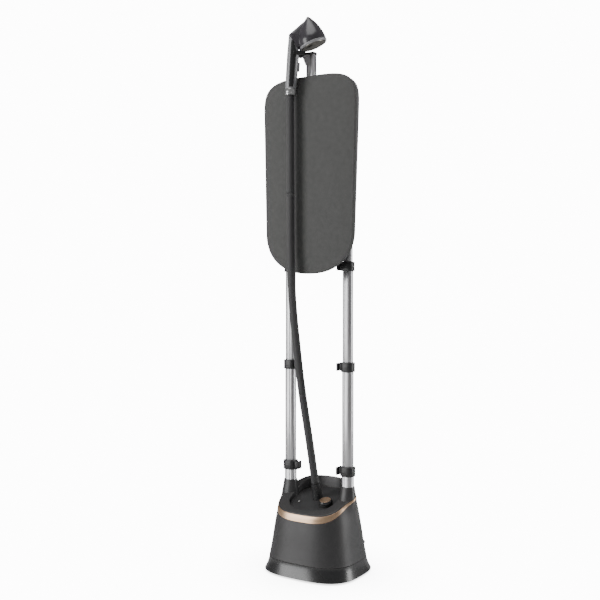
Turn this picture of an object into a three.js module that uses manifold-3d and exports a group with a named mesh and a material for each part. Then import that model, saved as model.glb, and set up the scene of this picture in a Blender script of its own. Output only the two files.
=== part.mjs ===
// Stand-type garment steamer: base with boiler and tank, two telescopic poles, board, docked handset.
// Millimetres, +Z up, X to the right, -Y to the front, origin under the middle of the base.
import * as THREE from 'three';
import { ConvexGeometry } from 'three/addons/geometries/ConvexGeometry.js';
import { mergeVertices } from 'three/addons/utils/BufferGeometryUtils.js';
import Module from 'manifold-3d';

const wasm = await Module();
wasm.setup();

// ---- driving dimensions -------------------------------------------------------------------------
const GAP = 0.3;

// base: height, half width, half depth of its squircle sections
const SQUIRCLE = 3.1;
const BASE_SECTIONS = [
  [5, 142, 122.5],
  [14, 138.5, 119],
  [26, 133.5, 114],
  [42, 130, 110.5],
  [80, 123.5, 104],
  [120, 118, 98.5],
  [160, 111.8, 92.3],
  [200, 104.5, 85],
  [270, 92, 73],
];
const SKIRT_TOP = 42;
const WALL = 3;
const RIM = { z: 176, y: -88, slope: 0.47 };
const BAND = { z: 157, y: -88, slope: 0.6, proud: 0.6, thick: 1.5 };
const DECK = { z: 182, y: -70, slope: 0.27 };
const RECESS = { halfX: 74, halfY: 71, n: 2.8 };
const deckZ = (y) => DECK.z + DECK.slope * (y - DECK.y);
const deckTilt = Math.atan(DECK.slope);
const DIAL = { x: 43, y: -27, z: deckZ(-27), r: 19.5, height: 16, insertR: 15.8, stemR: 4 };
const LENS = { x: -44.5, y: -29, z: deckZ(-29) };
const SOCKET_SECTIONS = [[196, 24, 24], [214, 24, 23], [230, 21.6, 19], [244, 20, 16.4], [246, 19, 15.4]];
const SOCKET_N = 2.3;

// inside the base: the tank slides out at the back, its neck and cap pass through a notch above it
const TANK = { halfX: 65.6, front: 26, floor: 46.4, top: 187, wall: 3, neckY: 56, neckR: 20, boreR: 16 };
const CAP = { r: 24, top: 198, grip: 5, skirtTop: 192.4 };
const BOILER = { y: -42, floor: 10 };

// mast: two poles, each a stub and four sections sliding in each other
const MAST_Y = 4;
const POLE_X = 95;
const POLE_W = 34.4;
const POLE_D = 26.4;
const POLE_WALL = 0.9;
const POLE_STEP = 2 * (POLE_WALL + GAP);
const GROOVE = { x: 5, depth: 0.8, width: 1.6 };
const SOCKET_TOP = SOCKET_SECTIONS.at(-1)[0];
const LEVELS = [0, 288, 579, 859, 1139];
const POLE_TOP = 1318;
const LAP = 55;
const CLAMP_H = 26;

// board
const BOARD = {
  bottom: 839, top: 1388, face: -53,
  halfW: 150, halfWLow: 143, topR: 99, topN: 3.7, lowR: 122, lowN: 2.3,
  cover: 6, backTop: -23, backLow: -37,
};
const BRIDGE_Z = [1306, 1334];
const COLUMN = { y: -36, w: 26, d: 20, z0: 1308, z1: 1452 };

// handset: placed at the lower end of its handle, head pointing along HEAD_TURN, handle leaning with it
const LIFT = 35;
const HANDSET_AT = new THREE.Vector3(-41.5, -80, 1333);
const HEAD_TURN = THREE.MathUtils.degToRad(35);
const HANDLE_LEAN = THREE.MathUtils.degToRad(4);
const COLLAR_H = 17;
const TRIGGER = [68, 92];
const HANDLE_SECTIONS = [[17.3, 15.5, 14.5], [60, 16.5, 15], [110, 17, 15.5], [172, 16, 15]];
const PLATE_AT = new THREE.Vector3(52.5, 0, 148);
const PLATE_TILT = THREE.MathUtils.degToRad(24.5);
const HEAD_SECTIONS = [
  [0, 0, 40, 46],
  [14, 0, 39.5, 45],
  [31, 2, 34, 37],
  [49, 6, 24, 25],
  [66, 10, 11, 12],
  [75, 12, 3, 3],
];

// hose: from inside the handle down to the cuff on the deck
const GLAND = { x: 84, z: 62 };
const HOSE_R = 11;
const HOSE_ROUTE = [
  [-38.9, -78.1, 1380], [-41.4, -79.9, 1326], [-41, -80, 1220], [-40.5, -80, 1060], [-39.6, -79.8, 900],
  [-37.6, -78, 800], [-34, -73, 715], [-30, -65, 640], [-26, -56, 563], [-20.5, -46.5, 487],
  [-13.5, -36.5, 412], [-8.5, -26, 345], [-5, -16, 285], [-3, -9.6, 250],
];
const CUFF = { at: [0, -1, 203], top: [-3, -10, 253], r0: 14, r1: 12.6 };

// ---- solid helpers --------------------------------------------------------------------------------
function toManifold(geometry) {
  const bare = new THREE.BufferGeometry();
  bare.setAttribute('position', geometry.getAttribute('position').clone());
  if (geometry.index) {
    bare.setIndex(geometry.index.clone());
  }
  const merged = mergeVertices(bare, 1e-4);
  return new wasm.Manifold(new wasm.Mesh({
    numProp: 3,
    vertProperties: new Float32Array(merged.getAttribute('position').array),
    triVerts: new Uint32Array(merged.index.array),
  }));
}

function fromManifold(solid) {
  const mesh = solid.simplify(0.04).getMesh();
  const geometry = new THREE.BufferGeometry();
  geometry.setAttribute('position', new THREE.BufferAttribute(mesh.vertProperties, 3));
  geometry.setIndex(new THREE.BufferAttribute(mesh.triVerts, 1));
  return geometry;
}

const combine = (operation) => (first, ...tools) => (
  fromManifold(tools.reduce((solid, tool) => solid[operation](toManifold(tool)), toManifold(first))));
const cut = combine('subtract');
const fuse = combine('add');
const common = combine('intersect');

// Skin over rings of points; a loop joins its last ring to its first, otherwise both ends are capped.
function loft(rings, loop = false) {
  const count = rings[0].length;
  const positions = rings.flat().flatMap((p) => [p.x, p.y, p.z]);
  const index = [];
  const bands = loop ? rings.length : rings.length - 1;
  for (let i = 0; i < bands; i += 1) {
    for (let j = 0; j < count; j += 1) {
      const a = i * count + j;
      const b = i * count + ((j + 1) % count);
      const c = ((i + 1) % rings.length) * count + j;
      const d = ((i + 1) % rings.length) * count + ((j + 1) % count);
      index.push(a, b, d, a, d, c);
    }
  }
  if (!loop) {
    for (const [ring, flip] of [[0, true], [rings.length - 1, false]]) {
      const centre = new THREE.Vector3();
      rings[ring].forEach((p) => centre.addScaledVector(p, 1 / count));
      const hub = positions.length / 3;
      positions.push(centre.x, centre.y, centre.z);
      for (let j = 0; j < count; j += 1) {
        const a = ring * count + j;
        const b = ring * count + ((j + 1) % count);
        index.push(hub, ...(flip ? [b, a] : [a, b]));
      }
    }
  }
  const geometry = new THREE.BufferGeometry();
  geometry.setAttribute('position', new THREE.Float32BufferAttribute(positions, 3));
  geometry.setIndex(signedVolume(positions, index) < 0 ? index.reverse() : index);
  return geometry;
}

function signedVolume(positions, index) {
  const corner = (i) => new THREE.Vector3().fromArray(positions, 3 * i);
  let sum = 0;
  for (let i = 0; i < index.length; i += 3) {
    sum += corner(index[i]).dot(corner(index[i + 1]).cross(corner(index[i + 2])));
  }
  return sum / 6;
}

function box(x0, x1, y0, y1, z0, z1) {
  const geometry = new THREE.BoxGeometry(x1 - x0, y1 - y0, z1 - z0);
  return geometry.translate((x0 + x1) / 2, (y0 + y1) / 2, (z0 + z1) / 2);
}

function drum(r0, r1, z0, z1, sides = 32) {
  const geometry = new THREE.CylinderGeometry(r1, r0, z1 - z0, sides);
  return geometry.rotateX(Math.PI / 2).translate(0, 0, (z0 + z1) / 2);
}

// Drum along the line from one point to another.
function rod(from, to, r0, r1 = r0, sides = 24) {
  const a = new THREE.Vector3(...from);
  const b = new THREE.Vector3(...to);
  const up = new THREE.Vector3(0, 0, 1);
  const turn = new THREE.Quaternion().setFromUnitVectors(up, b.clone().sub(a).normalize());
  return drum(r0, r1, 0, a.distanceTo(b), sides).applyQuaternion(turn).translate(a.x, a.y, a.z);
}

// Everything under the plane that rises to the back with the given slope.
function under({ z, y, slope }, lift = 0) {
  const side = new THREE.Shape();
  const reach = 260;
  side.moveTo(-reach, -400);
  side.lineTo(reach, -400);
  side.lineTo(reach, z + lift + slope * (reach - y));
  side.lineTo(-reach, z + lift + slope * (-reach - y));
  side.closePath();
  const prism = new THREE.ExtrudeGeometry(side, { depth: 2 * reach, bevelEnabled: false });
  const basis = new THREE.Matrix4().makeBasis(
    new THREE.Vector3(0, 1, 0), new THREE.Vector3(0, 0, 1), new THREE.Vector3(1, 0, 0));
  return prism.applyMatrix4(basis).translate(-reach, 0, 0);
}

function squirclePoints(a, b, n, count, z = 0, cx = 0, cy = 0) {
  const points = [];
  for (let i = 0; i < count; i += 1) {
    const t = (2 * Math.PI * i) / count;
    const c = Math.cos(t);
    const s = Math.sin(t);
    const x = a * Math.sign(c) * Math.abs(c) ** (2 / n);
    const y = b * Math.sign(s) * Math.abs(s) ** (2 / n);
    points.push(new THREE.Vector3(cx + x, cy + y, z));
  }
  return points;
}

// ---- base -----------------------------------------------------------------------------------------
function sectionAt(z) {
  let k = 0;
  while (k < BASE_SECTIONS.length - 2 && z > BASE_SECTIONS[k + 1][0]) {
    k += 1;
  }
  const [z0, a0, b0] = BASE_SECTIONS[k];
  const [z1, a1, b1] = BASE_SECTIONS[k + 1];
  const t = (z - z0) / (z1 - z0);
  return [a0 + t * (a1 - a0), b0 + t * (b1 - b0)];
}

// How far the pole pilasters swell out of the sides at a height.
function pilaster(z) {
  const rise = THREE.MathUtils.smoothstep(z, 90, 205);
  const reach = 121 - 5 * THREE.MathUtils.smoothstep(z, 205, 250);
  return Math.max(0, reach - sectionAt(z)[0]) * rise;
}

function bodyRing(z, inset = 0, count = 52) {
  const [a, b] = sectionAt(z);
  return squirclePoints(a - inset, b - inset, SQUIRCLE, count, z).map((p) => {
    const off = Math.atan2(p.y - MAST_Y, Math.abs(p.x)) / 0.24;
    const swell = pilaster(z) * Math.exp(-off * off);
    return new THREE.Vector3(p.x + Math.sign(p.x) * swell, p.y, z);
  });
}

function bodyLoft(z0, z1, inset = 0) {
  const stops = [z0, ...BASE_SECTIONS.map((s) => s[0]).filter((z) => z > z0 + 2 && z < z1 - 2), z1];
  for (const z of [100, 140, 180, 225, 250]) {
    if (z > z0 + 2 && z < z1 - 2) {
      stops.push(z);
    }
  }
  stops.sort((p, q) => p - q);
  return loft(stops.map((z) => bodyRing(z, inset)));
}

function recess(grow, z0, z1) {
  const { halfX, halfY, n } = RECESS;
  return loft([z0, z1].map((z) => squirclePoints(halfX + grow, halfY + grow, n, 56, z)));
}

// Below the collar's lower seam: under the band's lower edge and just under the rim at the back.
function belowSeam(lift = 0) {
  return common(under(BAND, lift), under(RIM, lift - 4));
}

function poleOutline(level, side, z, grow = 0, count = 26) {
  const w = POLE_W - level * POLE_STEP + 2 * grow;
  const d = POLE_D - level * POLE_STEP + 2 * grow;
  return squirclePoints(w / 2, d / 2, 2.6, count, z).map((p) => {
    const pinch = GROOVE.depth * Math.exp(-(((p.x + side * GROOVE.x) / GROOVE.width) ** 2));
    return new THREE.Vector3(side * POLE_X + p.x, MAST_Y + p.y - Math.sign(p.y) * pinch, z);
  });
}

function poleBore(level, side, z0, z1) {
  return loft([z0, z1].map((z) => poleOutline(level, side, z, GAP)));
}

function floorPan() {
  const foot = 5;
  const outer = loft([[foot, 12], [SKIRT_TOP - 6, 12]].map(([z, inset]) => bodyRing(z, inset)));
  const hollow = loft([[foot + 3, 15], [SKIRT_TOP, 15]].map(([z, inset]) => bodyRing(z, inset)));
  return cut(outer, hollow);
}

function skirtRing() {
  const stops = BASE_SECTIONS.map((s) => s[0]).filter((z) => z <= SKIRT_TOP);
  const outside = stops.map((z) => bodyRing(z));
  const inside = [...stops].reverse().map((z) => bodyRing(z, 4.5));
  return loft([...outside, ...inside], true);
}

function bodyShell() {
  const outer = common(bodyLoft(SKIRT_TOP + GAP, 268), belowSeam());
  const side = TANK.halfX + 0.4;
  const window = box(-side, side, 40, 160, TANK.floor - 0.4, TANK.top + 0.5);
  const notch = box(-CAP.r - 2, CAP.r + 2, 40, 160, TANK.top, CAP.top + CAP.grip + 2);
  const cordHole = rod([GLAND.x, 60, GLAND.z], [GLAND.x, 140, GLAND.z], 6.6, 6.6, 20);
  return cut(outer, bodyLoft(SKIRT_TOP - 5, 275, WALL), window, notch, cordHole);
}

function topCollar() {
  const outside = bodyLoft(120, 272, 1.2);
  const inside = bodyLoft(110, 275, 4.4);
  const wallBand = cut(common(outside, under(RIM)), inside);
  const topPlate = cut(common(outside, under(RIM)), under(RIM, -4));
  const aboveDeck = cut(box(-200, 200, -200, 200, 0, 400), under(DECK, -6));
  const well = common(recess(3, 120, 300), inside, under(RIM), aboveDeck);
  let solid = cut(fuse(wallBand, topPlate), belowSeam(GAP));
  solid = fuse(solid, well);
  for (const side of [-1, 1]) {
    const socket = loft(SOCKET_SECTIONS.map(([z, a, b]) => (
      squirclePoints(a, b, SOCKET_N, 32, z, side * POLE_X, MAST_Y))));
    const flush = fuse(cut(socket, under(RIM, -1)), common(socket, outside, under(RIM)));
    solid = fuse(solid, cut(flush, belowSeam(GAP)));
    solid = cut(solid, poleBore(0, side, 100, 300));
  }
  return cut(solid, cut(recess(0, 120, 300), box(-200, 200, -200, 200, SOCKET_TOP, 400)));
}

function accentBand() {
  const ring = cut(bodyLoft(120, 272, -BAND.proud), bodyLoft(110, 275, -BAND.proud + BAND.thick));
  const zone = cut(common(ring, under(RIM, -2)), under(BAND, 0.6));
  return common(zone, box(-200, 200, -200, 14, 100, 300));
}

function deckPanel() {
  const plate = cut(common(recess(-0.4, 120, 300), under(DECK)), under(DECK, -3));
  const holeR = DIAL.stemR + 0.4;
  const dialHole = onDeck(DIAL, holeR, holeR, -20, 10, 16);
  const hoseHole = rod([1.4, 3, 180], [-3, -10, 253], 9, 9, 24);
  const lensHole = drum(3.9, 3.9, 150, 230, 16).translate(LENS.x, LENS.y, 0);
  const solid = cut(plate, dialHole, hoseHole, lensHole);
  const notches = [-1, 1].map((side) => loft([100, 300].map((z) => (
    squirclePoints(22, 20, SOCKET_N, 32, z, side * POLE_X, MAST_Y)))));
  return cut(solid, ...notches);
}

// A drum standing on the deck, square to it.
function onDeck(place, r0, r1, h0, h1, sides = 32) {
  return drum(r0, r1, h0, h1, sides).rotateX(deckTilt).translate(place.x, place.y, place.z);
}

function dial() {
  const { r, height, insertR, stemR } = DIAL;
  const skirt = onDeck(DIAL, r, r, 0.4, 10, 40);
  const crown = onDeck(DIAL, r, r - 1.9, 9.9, height, 40);
  const stem = onDeck(DIAL, stemR, stemR, -14, 1, 16);
  const seat = onDeck(DIAL, insertR + 0.4, insertR + 0.4, height - 1.4, height + 4, 32);
  return cut(fuse(skirt, crown, stem), seat);
}

function dialInsert() {
  const pointer = box(-1.2, 1.2, 5, 14, 15.8, 20).rotateX(deckTilt).translate(DIAL.x, DIAL.y, DIAL.z);
  return cut(onDeck(DIAL, DIAL.insertR, DIAL.insertR, DIAL.height - 1.1, DIAL.height + 0.6, 32), pointer);
}

function feet(index) {
  const sx = index % 2 ? 1 : -1;
  const sy = index < 2 ? -1 : 1;
  return drum(13, 11.5, 0, 4.7, 24).rotateX(Math.PI).translate(sx * 88, sy * 72, 4.7);
}

function boiler() {
  const profile = [[0, 0], [30, 0], [33, 4], [33, 66], [28, 78], [10, 84], [8, 92], [0, 92]];
  const points = profile.map(([r, z]) => new THREE.Vector2(r, z));
  return new THREE.LatheGeometry(points, 36).rotateX(Math.PI / 2).translate(0, BOILER.y, BOILER.floor);
}

function pump() {
  const motor = rod([-57, -46, 30], [-57, 2, 30], 17, 17, 24);
  return fuse(motor, box(-69, -45, -40, -4, 8.3, 20), rod([-57, 1, 30], [-57, 12, 30], 7, 7, 16));
}

function controlBoard() {
  const panel = box(52, 54, -62, 2, 10, 82);
  const relay = box(53.9, 66, -50, -34, 24, 50);
  const transformer = box(53.9, 62, -24, -8, 30, 60);
  const terminals = box(53.9, 60, -52, -20, 60, 68);
  return fuse(panel, relay, transformer, terminals);
}

function steamRiser() {
  return rod([0, BOILER.y, 104.6], [0, -4, 186], 5, 5, 16);
}

function waterTank() {
  const { halfX, front, floor, top, wall, neckY, neckR, boreR } = TANK;
  const outside = common(bodyLoft(30, 260, 0), box(-halfX, halfX, front, 160, floor, top));
  const room = box(-halfX + wall, halfX - wall, front + wall, 160, floor + wall, top - wall);
  const inside = common(bodyLoft(28, 262, wall), room);
  const neck = drum(neckR, neckR, top - 7, top + 5, 28).translate(0, neckY, 0);
  const bore = drum(boreR, boreR, top - 17, top + 13, 28).translate(0, neckY, 0);
  return cut(fuse(outside, neck), inside, bore);
}

function tankCap() {
  const { neckY, neckR, top } = TANK;
  const cap = drum(CAP.r, CAP.r - 1, top + GAP, CAP.top, 28).translate(0, neckY, 0);
  const skirt = drum(neckR + 0.4, neckR + 0.4, top - 7, CAP.skirtTop, 28).translate(0, neckY, 0);
  const grip = box(-3, 3, neckY - 18, neckY + 18, CAP.top - 0.1, CAP.top + CAP.grip);
  return fuse(cut(cap, skirt), grip);
}

function mainsGland() {
  const { x, z } = GLAND;
  const sleeve = fuse(rod([x, 80, z], [x, 118, z], 6, 5.2, 20), rod([x, 104, z], [x, 108, z], 9, 8.4, 20));
  return cut(sleeve, rod([x, 70, z], [x, 130, z], 3.6, 3.6, 16));
}

// ---- mast -----------------------------------------------------------------------------------------
function poleTube(level, side) {
  const z0 = level === 0 ? 14 : LEVELS[level] - LAP;
  const z1 = level === 4 ? POLE_TOP : LEVELS[level + 1] - GAP;
  const profile = [[z0, 0], [z1, 0], [z1, -POLE_WALL], [z0, -POLE_WALL]];
  return loft(profile.map(([z, grow]) => poleOutline(level, side, z, grow)), true);
}

function clampCollar(level, side) {
  const z = LEVELS[level];
  const halfW = (POLE_W - (level - 1) * POLE_STEP) / 2 + 3.4;
  const halfD = (POLE_D - (level - 1) * POLE_STEP) / 2 + 4;
  const x = side * POLE_X;
  const sleeve = loft([z - CLAMP_H / 2, z + CLAMP_H / 2].map((h) => (
    squirclePoints(halfW, halfD, 2.8, 32, h, x, MAST_Y))));
  const inner = x - side * (halfW - 3);
  const lugEnd = x - side * (halfW + 4);
  const lug = box(Math.min(inner, lugEnd), Math.max(inner, lugEnd), MAST_Y - 9, MAST_Y + 9, z - 9, z + 9);
  return cut(fuse(sleeve, lug), poleBore(level - 1, side, z - 40, z), poleBore(level, side, z - 1, z + 40));
}

function clampPivot(level, side) {
  const halfW = (POLE_W - (level - 1) * POLE_STEP) / 2 + 3.4;
  return { x: side * (POLE_X - halfW - 4 - GAP - 3), y: MAST_Y + 8 };
}

function clampLever(level, side) {
  const z = LEVELS[level];
  const { x, y } = clampPivot(level, side);
  const arm = box(x - 3, x + 3, y - 23, y, z - 11, z + 11);
  return fuse(arm, drum(3, 3, z - 11, z + 11, 20).translate(x, y, 0));
}

function bridge() {
  const [z0, z1] = BRIDGE_Z;
  const bar = box(-POLE_X, POLE_X, MAST_Y - 11, MAST_Y + 11, z0, z1);
  const ends = [-1, 1].map((side) => loft([z0, z1].map((z) => (
    squirclePoints(18, 14, 2.6, 28, z, side * POLE_X, MAST_Y)))));
  const hub = box(-17, 17, COLUMN.y + COLUMN.d / 2 + GAP, MAST_Y - 10, z0, z1);
  const bores = [-1, 1].map((side) => poleBore(4, side, z0 - 5, POLE_TOP + GAP));
  return cut(fuse(bar, ...ends, hub), ...bores);
}

function column() {
  const { y, w, d, z0, z1 } = COLUMN;
  const post = loft([z0, z1].map((z) => squirclePoints(w / 2, d / 2, 5, 28, z, 0, y)));
  const slot = box(-3, 3, y - d, y - d / 2 + 1.6, z0 - 5, z1 + 5);
  return cut(post, slot);
}

// ---- board ----------------------------------------------------------------------------------------
// Rounded oblong outline, wider and squarer at the top, as points in X and Z.
function boardOutline(inset, count = 22) {
  const { bottom, top, halfW, halfWLow, topR, topN, lowR, lowN } = BOARD;
  const points = [];
  for (let i = 0; i <= count; i += 1) {
    const t = (Math.PI * i) / count;
    const c = Math.cos(t);
    const s = Math.sin(t);
    const x = (halfW - inset) * Math.sign(c) * Math.abs(c) ** (2 / topN);
    points.push([x, top - topR + (topR - inset) * s ** (2 / topN)]);
  }
  for (let i = 0; i <= count; i += 1) {
    const t = Math.PI + (Math.PI * i) / count;
    const c = Math.cos(t);
    const s = Math.abs(Math.sin(t));
    const x = (halfWLow - inset) * Math.sign(c) * Math.abs(c) ** (2 / lowN);
    points.push([x, bottom + lowR - (lowR - inset) * s ** (2 / lowN)]);
  }
  return points;
}

function boardRing(inset, yAt) {
  return boardOutline(inset).map(([x, z]) => new THREE.Vector3(x, yAt(z), z));
}

function boardCover() {
  const { face, cover } = BOARD;
  return loft([
    boardRing(0, () => face + cover),
    boardRing(0, () => face + 2.5),
    boardRing(2.5, () => face),
  ]);
}

function boardTray() {
  const { face, cover, backTop, backLow, bottom, top } = BOARD;
  const back = (z) => THREE.MathUtils.lerp(backLow, backTop, (z - bottom) / (top - bottom));
  const slab = loft([
    boardRing(8, (z) => back(z)),
    boardRing(1.5, (z) => back(z) - 4),
    boardRing(1.5, () => face + cover + GAP),
  ]);
  return cut(slab, box(-18, 18, -100, 20, COLUMN.z0 - 6, 1500));
}

// ---- handset, in its own axes: X to the head, Z up the handle ---------------------------------------
const HANDSET_TURN = new THREE.Matrix4()
  .makeTranslation(HANDSET_AT)
  .multiply(new THREE.Matrix4().makeRotationZ(HEAD_TURN))
  .multiply(new THREE.Matrix4().makeRotationY(HANDLE_LEAN));
const PLATE_TURN = new THREE.Matrix4()
  .makeTranslation(PLATE_AT)
  .multiply(new THREE.Matrix4().makeRotationY(-PLATE_TILT));

function ellipse(a, b, z, cx = 0, count = 32) {
  return squirclePoints(a, b, 2, count, z, cx, 0);
}

function handleLoft(grow = 0) {
  return loft(HANDLE_SECTIONS.map(([z, a, b]) => ellipse(a + grow, b + grow, z)));
}

// The slanted parting face between the handle and the head, as the solid above it.
function abovePart(lift = 0) {
  const solid = box(-120, 120, -80, 80, 0, 200);
  return solid.rotateY(Math.atan2(44, 33)).translate(0.5, 0, 144 + lift);
}

function handleShell() {
  const hollow = drum(HOSE_R + 1, HOSE_R + 1, 0, 62, 24);
  const trigger = box(9, 30, -6.2, 6.2, TRIGGER[0] - 0.5, TRIGGER[1] + 0.5);
  return cut(handleLoft(), hollow, trigger, inlayBlock(GAP), abovePart());
}

// Block behind the inlay's outline, reaching out past the near side of the handle.
function inlayBlock(grow) {
  const outline = [[-6.4, 22], [6.4, 22], [8, 120], [-2, 150], [-8, 150]];
  const rings = [13.4 - grow, 22].map((depth) => outline.map(([x, z]) => new THREE.Vector3(
    x + (x > -6 ? grow : -grow), -depth, z + (z < 100 ? -grow : grow))));
  return loft(rings);
}

function gripInlay() {
  return cut(common(inlayBlock(0), handleLoft(0.5)), abovePart(-1));
}

function hoseCollar() {
  const ring = fuse(drum(15.8, 16.4, 0, 5, 28), drum(16.4, 16.2, 4.9, COLLAR_H, 28));
  return cut(ring, drum(HOSE_R + 0.6, HOSE_R + 0.6, -5, 30, 24));
}

function headLoft(inset) {
  const sections = inset ? HEAD_SECTIONS.slice(0, -1) : HEAD_SECTIONS;
  const rings = sections.map(([n, t, a, b]) => ellipse(a - inset, b - inset, inset ? n * 0.9 - 1 : n, t));
  return loft(rings).applyMatrix4(PLATE_TURN);
}

function headShell() {
  const cap = ellipse(11, 12, 66, 10).map((p) => p.applyMatrix4(PLATE_TURN));
  const cheek = ellipse(14, 22, 8, -24).map((p) => p.applyMatrix4(PLATE_TURN));
  const root = [...ellipse(16.4, 15.2, 128), ...ellipse(16, 15, 168)];
  const neck = common(new ConvexGeometry([...cap, ...cheek, ...root]), abovePart(GAP));
  const belowPlate = box(-60, 60, -60, 60, -60, 0).applyMatrix4(PLATE_TURN);
  return cut(fuse(headLoft(0), cut(neck, belowPlate)), headLoft(3));
}

function plateRing() {
  const rings = [[-GAP, 40, 46], [-6, 38, 44], [-6, 34, 40], [-GAP, 34, 40]];
  return loft(rings.map(([n, a, b]) => ellipse(a, b, n)), true).applyMatrix4(PLATE_TURN);
}

function steamPlate() {
  const holes = [];
  for (let i = 0; i < 12; i += 1) {
    const t = (2 * Math.PI * (i + 0.5)) / 12;
    holes.push(drum(1.6, 1.6, -12, 2, 8).translate(23 * Math.cos(t), 28 * Math.sin(t), 0));
  }
  return cut(loft([ellipse(33.6, 39.6, -7), ellipse(33.6, 39.6, -2)]), ...holes).applyMatrix4(PLATE_TURN);
}

function trigger() {
  const [z0, z1] = TRIGGER;
  const root = 13;
  const sections = [[z0, 5.4, 18.5], [z0 + 3, 5.8, 21], [z1 - 3, 5.8, 21], [z1, 5.4, 18.5]];
  return loft(sections.map(([z, half, nose]) => (
    [[root, -half], [nose, -half], [nose, half], [root, half]]
      .map(([x, y]) => new THREE.Vector3(x, y, z)))));
}

// ---- dock on the column ----------------------------------------------------------------------------
function dockArm() {
  const from = new THREE.Vector2(0, COLUMN.y);
  const axis = new THREE.Vector3(0, 0, 112).applyMatrix4(HANDSET_TURN);
  const along = new THREE.Vector2(axis.x, axis.y).sub(from);
  const reach = along.length();
  const angle = Math.atan2(along.y, along.x);
  const web = new THREE.Shape();
  web.moveTo(6, COLUMN.z1 - 37);
  web.lineTo(18, COLUMN.z1 - 32);
  web.lineTo(reach - 4, COLUMN.z1 - 11);
  web.lineTo(reach - 4, COLUMN.z1 + 2);
  web.lineTo(18, COLUMN.z1 - 4);
  web.lineTo(6, COLUMN.z1 - 4);
  web.closePath();
  const upright = new THREE.ExtrudeGeometry(web, { depth: 14, bevelEnabled: false });
  upright.translate(0, 0, -7).rotateX(Math.PI / 2);
  const cradle = box(reach - 34, reach + 4, -20, 20, COLUMN.z1 - 11, COLUMN.z1 + 2);
  const { y, w, d, z0, z1 } = COLUMN;
  const shroud = loft([[z1 - 37, 3], [z1 + 3, 3], [z1 + 5, 1.5]].map(([z, grow]) => (
    squirclePoints(w / 2 + grow, d / 2 + grow, 5, 28, z, 0, y))));
  const arm = fuse(fuse(upright, cradle).rotateZ(angle).translate(from.x, from.y, 0), shroud);
  const post = loft([z0 - 50, z1 + GAP].map((z) => (
    squirclePoints(w / 2 + GAP, d / 2 + GAP, 5, 28, z, 0, y))));
  const grip = loft([30, 172].map((z) => ellipse(17.8, 17, z))).applyMatrix4(HANDSET_TURN);
  return cut(arm, post, handleLoft(0.8).applyMatrix4(HANDSET_TURN), grip, triggerSweep());
}

// Room for the trigger as the handset lifts through the fork.
function triggerSweep() {
  const reach = 21 + LIFT * Math.sin(HANDLE_LEAN) + 3;
  return box(8, reach, -7, 7, TRIGGER[0] - 4, TRIGGER[1] + LIFT + 60).applyMatrix4(HANDSET_TURN);
}

// ---- hose ------------------------------------------------------------------------------------------
function hose() {
  const route = HOSE_ROUTE.map((p) => new THREE.Vector3(...p));
  const extrudePath = new THREE.CatmullRomCurve3(route, false, 'centripetal');
  const outline = new THREE.Shape();
  outline.absarc(0, 0, HOSE_R, 0, 2 * Math.PI, false);
  const options = { steps: 40, curveSegments: 7, extrudePath, bevelEnabled: false };
  return new THREE.ExtrudeGeometry(outline, options);
}

function hoseCuff() {
  const { at, top, r0, r1 } = CUFF;
  const raised = rod(at, top, r0, r1, 28);
  const boreTop = [top[0] - 0.6, top[1] - 1.8, top[2] + 10];
  const bore = rod([at[0] + 3, at[1] + 8, at[2] - 50], boreTop, 8.4, 8.4, 24);
  const mouth = rod([-2.55, -8.6, 245.4], [-3.6, -11.6, 264], HOSE_R + 0.5, HOSE_R + 0.5, 24);
  return cut(raised, under(DECK, 0.4), bore, mouth);
}

// ---- assembly --------------------------------------------------------------------------------------
function finish(color, roughness, metalness = 0) {
  return new THREE.MeshStandardMaterial({ color, roughness, metalness });
}

const LOOK = {
  satin: finish(0x4a4a4c, 0.5),
  gloss: finish(0x232325, 0.15),
  black: finish(0x161618, 0.45),
  copper: finish(0xc9a27c, 0.28, 0.9),
  silver: finish(0xb9babd, 0.32, 1),
  steel: finish(0x8d8a80, 0.3, 1),
  cloth: finish(0x5a5a59, 0.95),
  hose: finish(0x3c3b3d, 0.8),
  grey: finish(0x8f8f93, 0.35, 0.4),
  board: finish(0x2f5a3c, 0.6),
  tank: finish(0x3a3d40, 0.25),
  lens: finish(0xf2f2ee, 0.2),
  rubber: finish(0x1b1b1c, 0.9),
};

const steamer = new THREE.Group();
steamer.name = 'garment_steamer';

function add(name, geometry, look, parent = steamer) {
  const flat = geometry.index ? geometry.toNonIndexed() : geometry;
  flat.computeVertexNormals();
  const mesh = new THREE.Mesh(flat, look);
  mesh.name = name;
  parent.add(mesh);
}

add('floor_pan', floorPan(), LOOK.black);
add('skirt_ring', skirtRing(), LOOK.gloss);
add('body_shell', bodyShell(), LOOK.satin);
add('top_collar', topCollar(), LOOK.satin);
add('accent_band', accentBand(), LOOK.copper);
add('deck_panel', deckPanel(), LOOK.black);
add('indicator_lens', onDeck(LENS, 3, 2.6, -4, 0.8, 16), LOOK.lens);
add('dial', dial(), LOOK.gloss);
add('dial_insert', dialInsert(), LOOK.copper);
['foot_front_left', 'foot_front_right', 'foot_rear_left', 'foot_rear_right'].forEach((name, i) => {
  add(name, feet(i), LOOK.rubber);
});
add('boiler', boiler(), LOOK.steel);
add('pump', pump(), LOOK.black);
add('control_board', controlBoard(), LOOK.board);
add('steam_riser', steamRiser(), LOOK.rubber);
add('water_tank', waterTank(), LOOK.tank);
add('tank_cap', tankCap(), LOOK.black);
add('mains_gland', mainsGland(), LOOK.rubber);
add('hose_cuff', hoseCuff(), LOOK.black);

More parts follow.
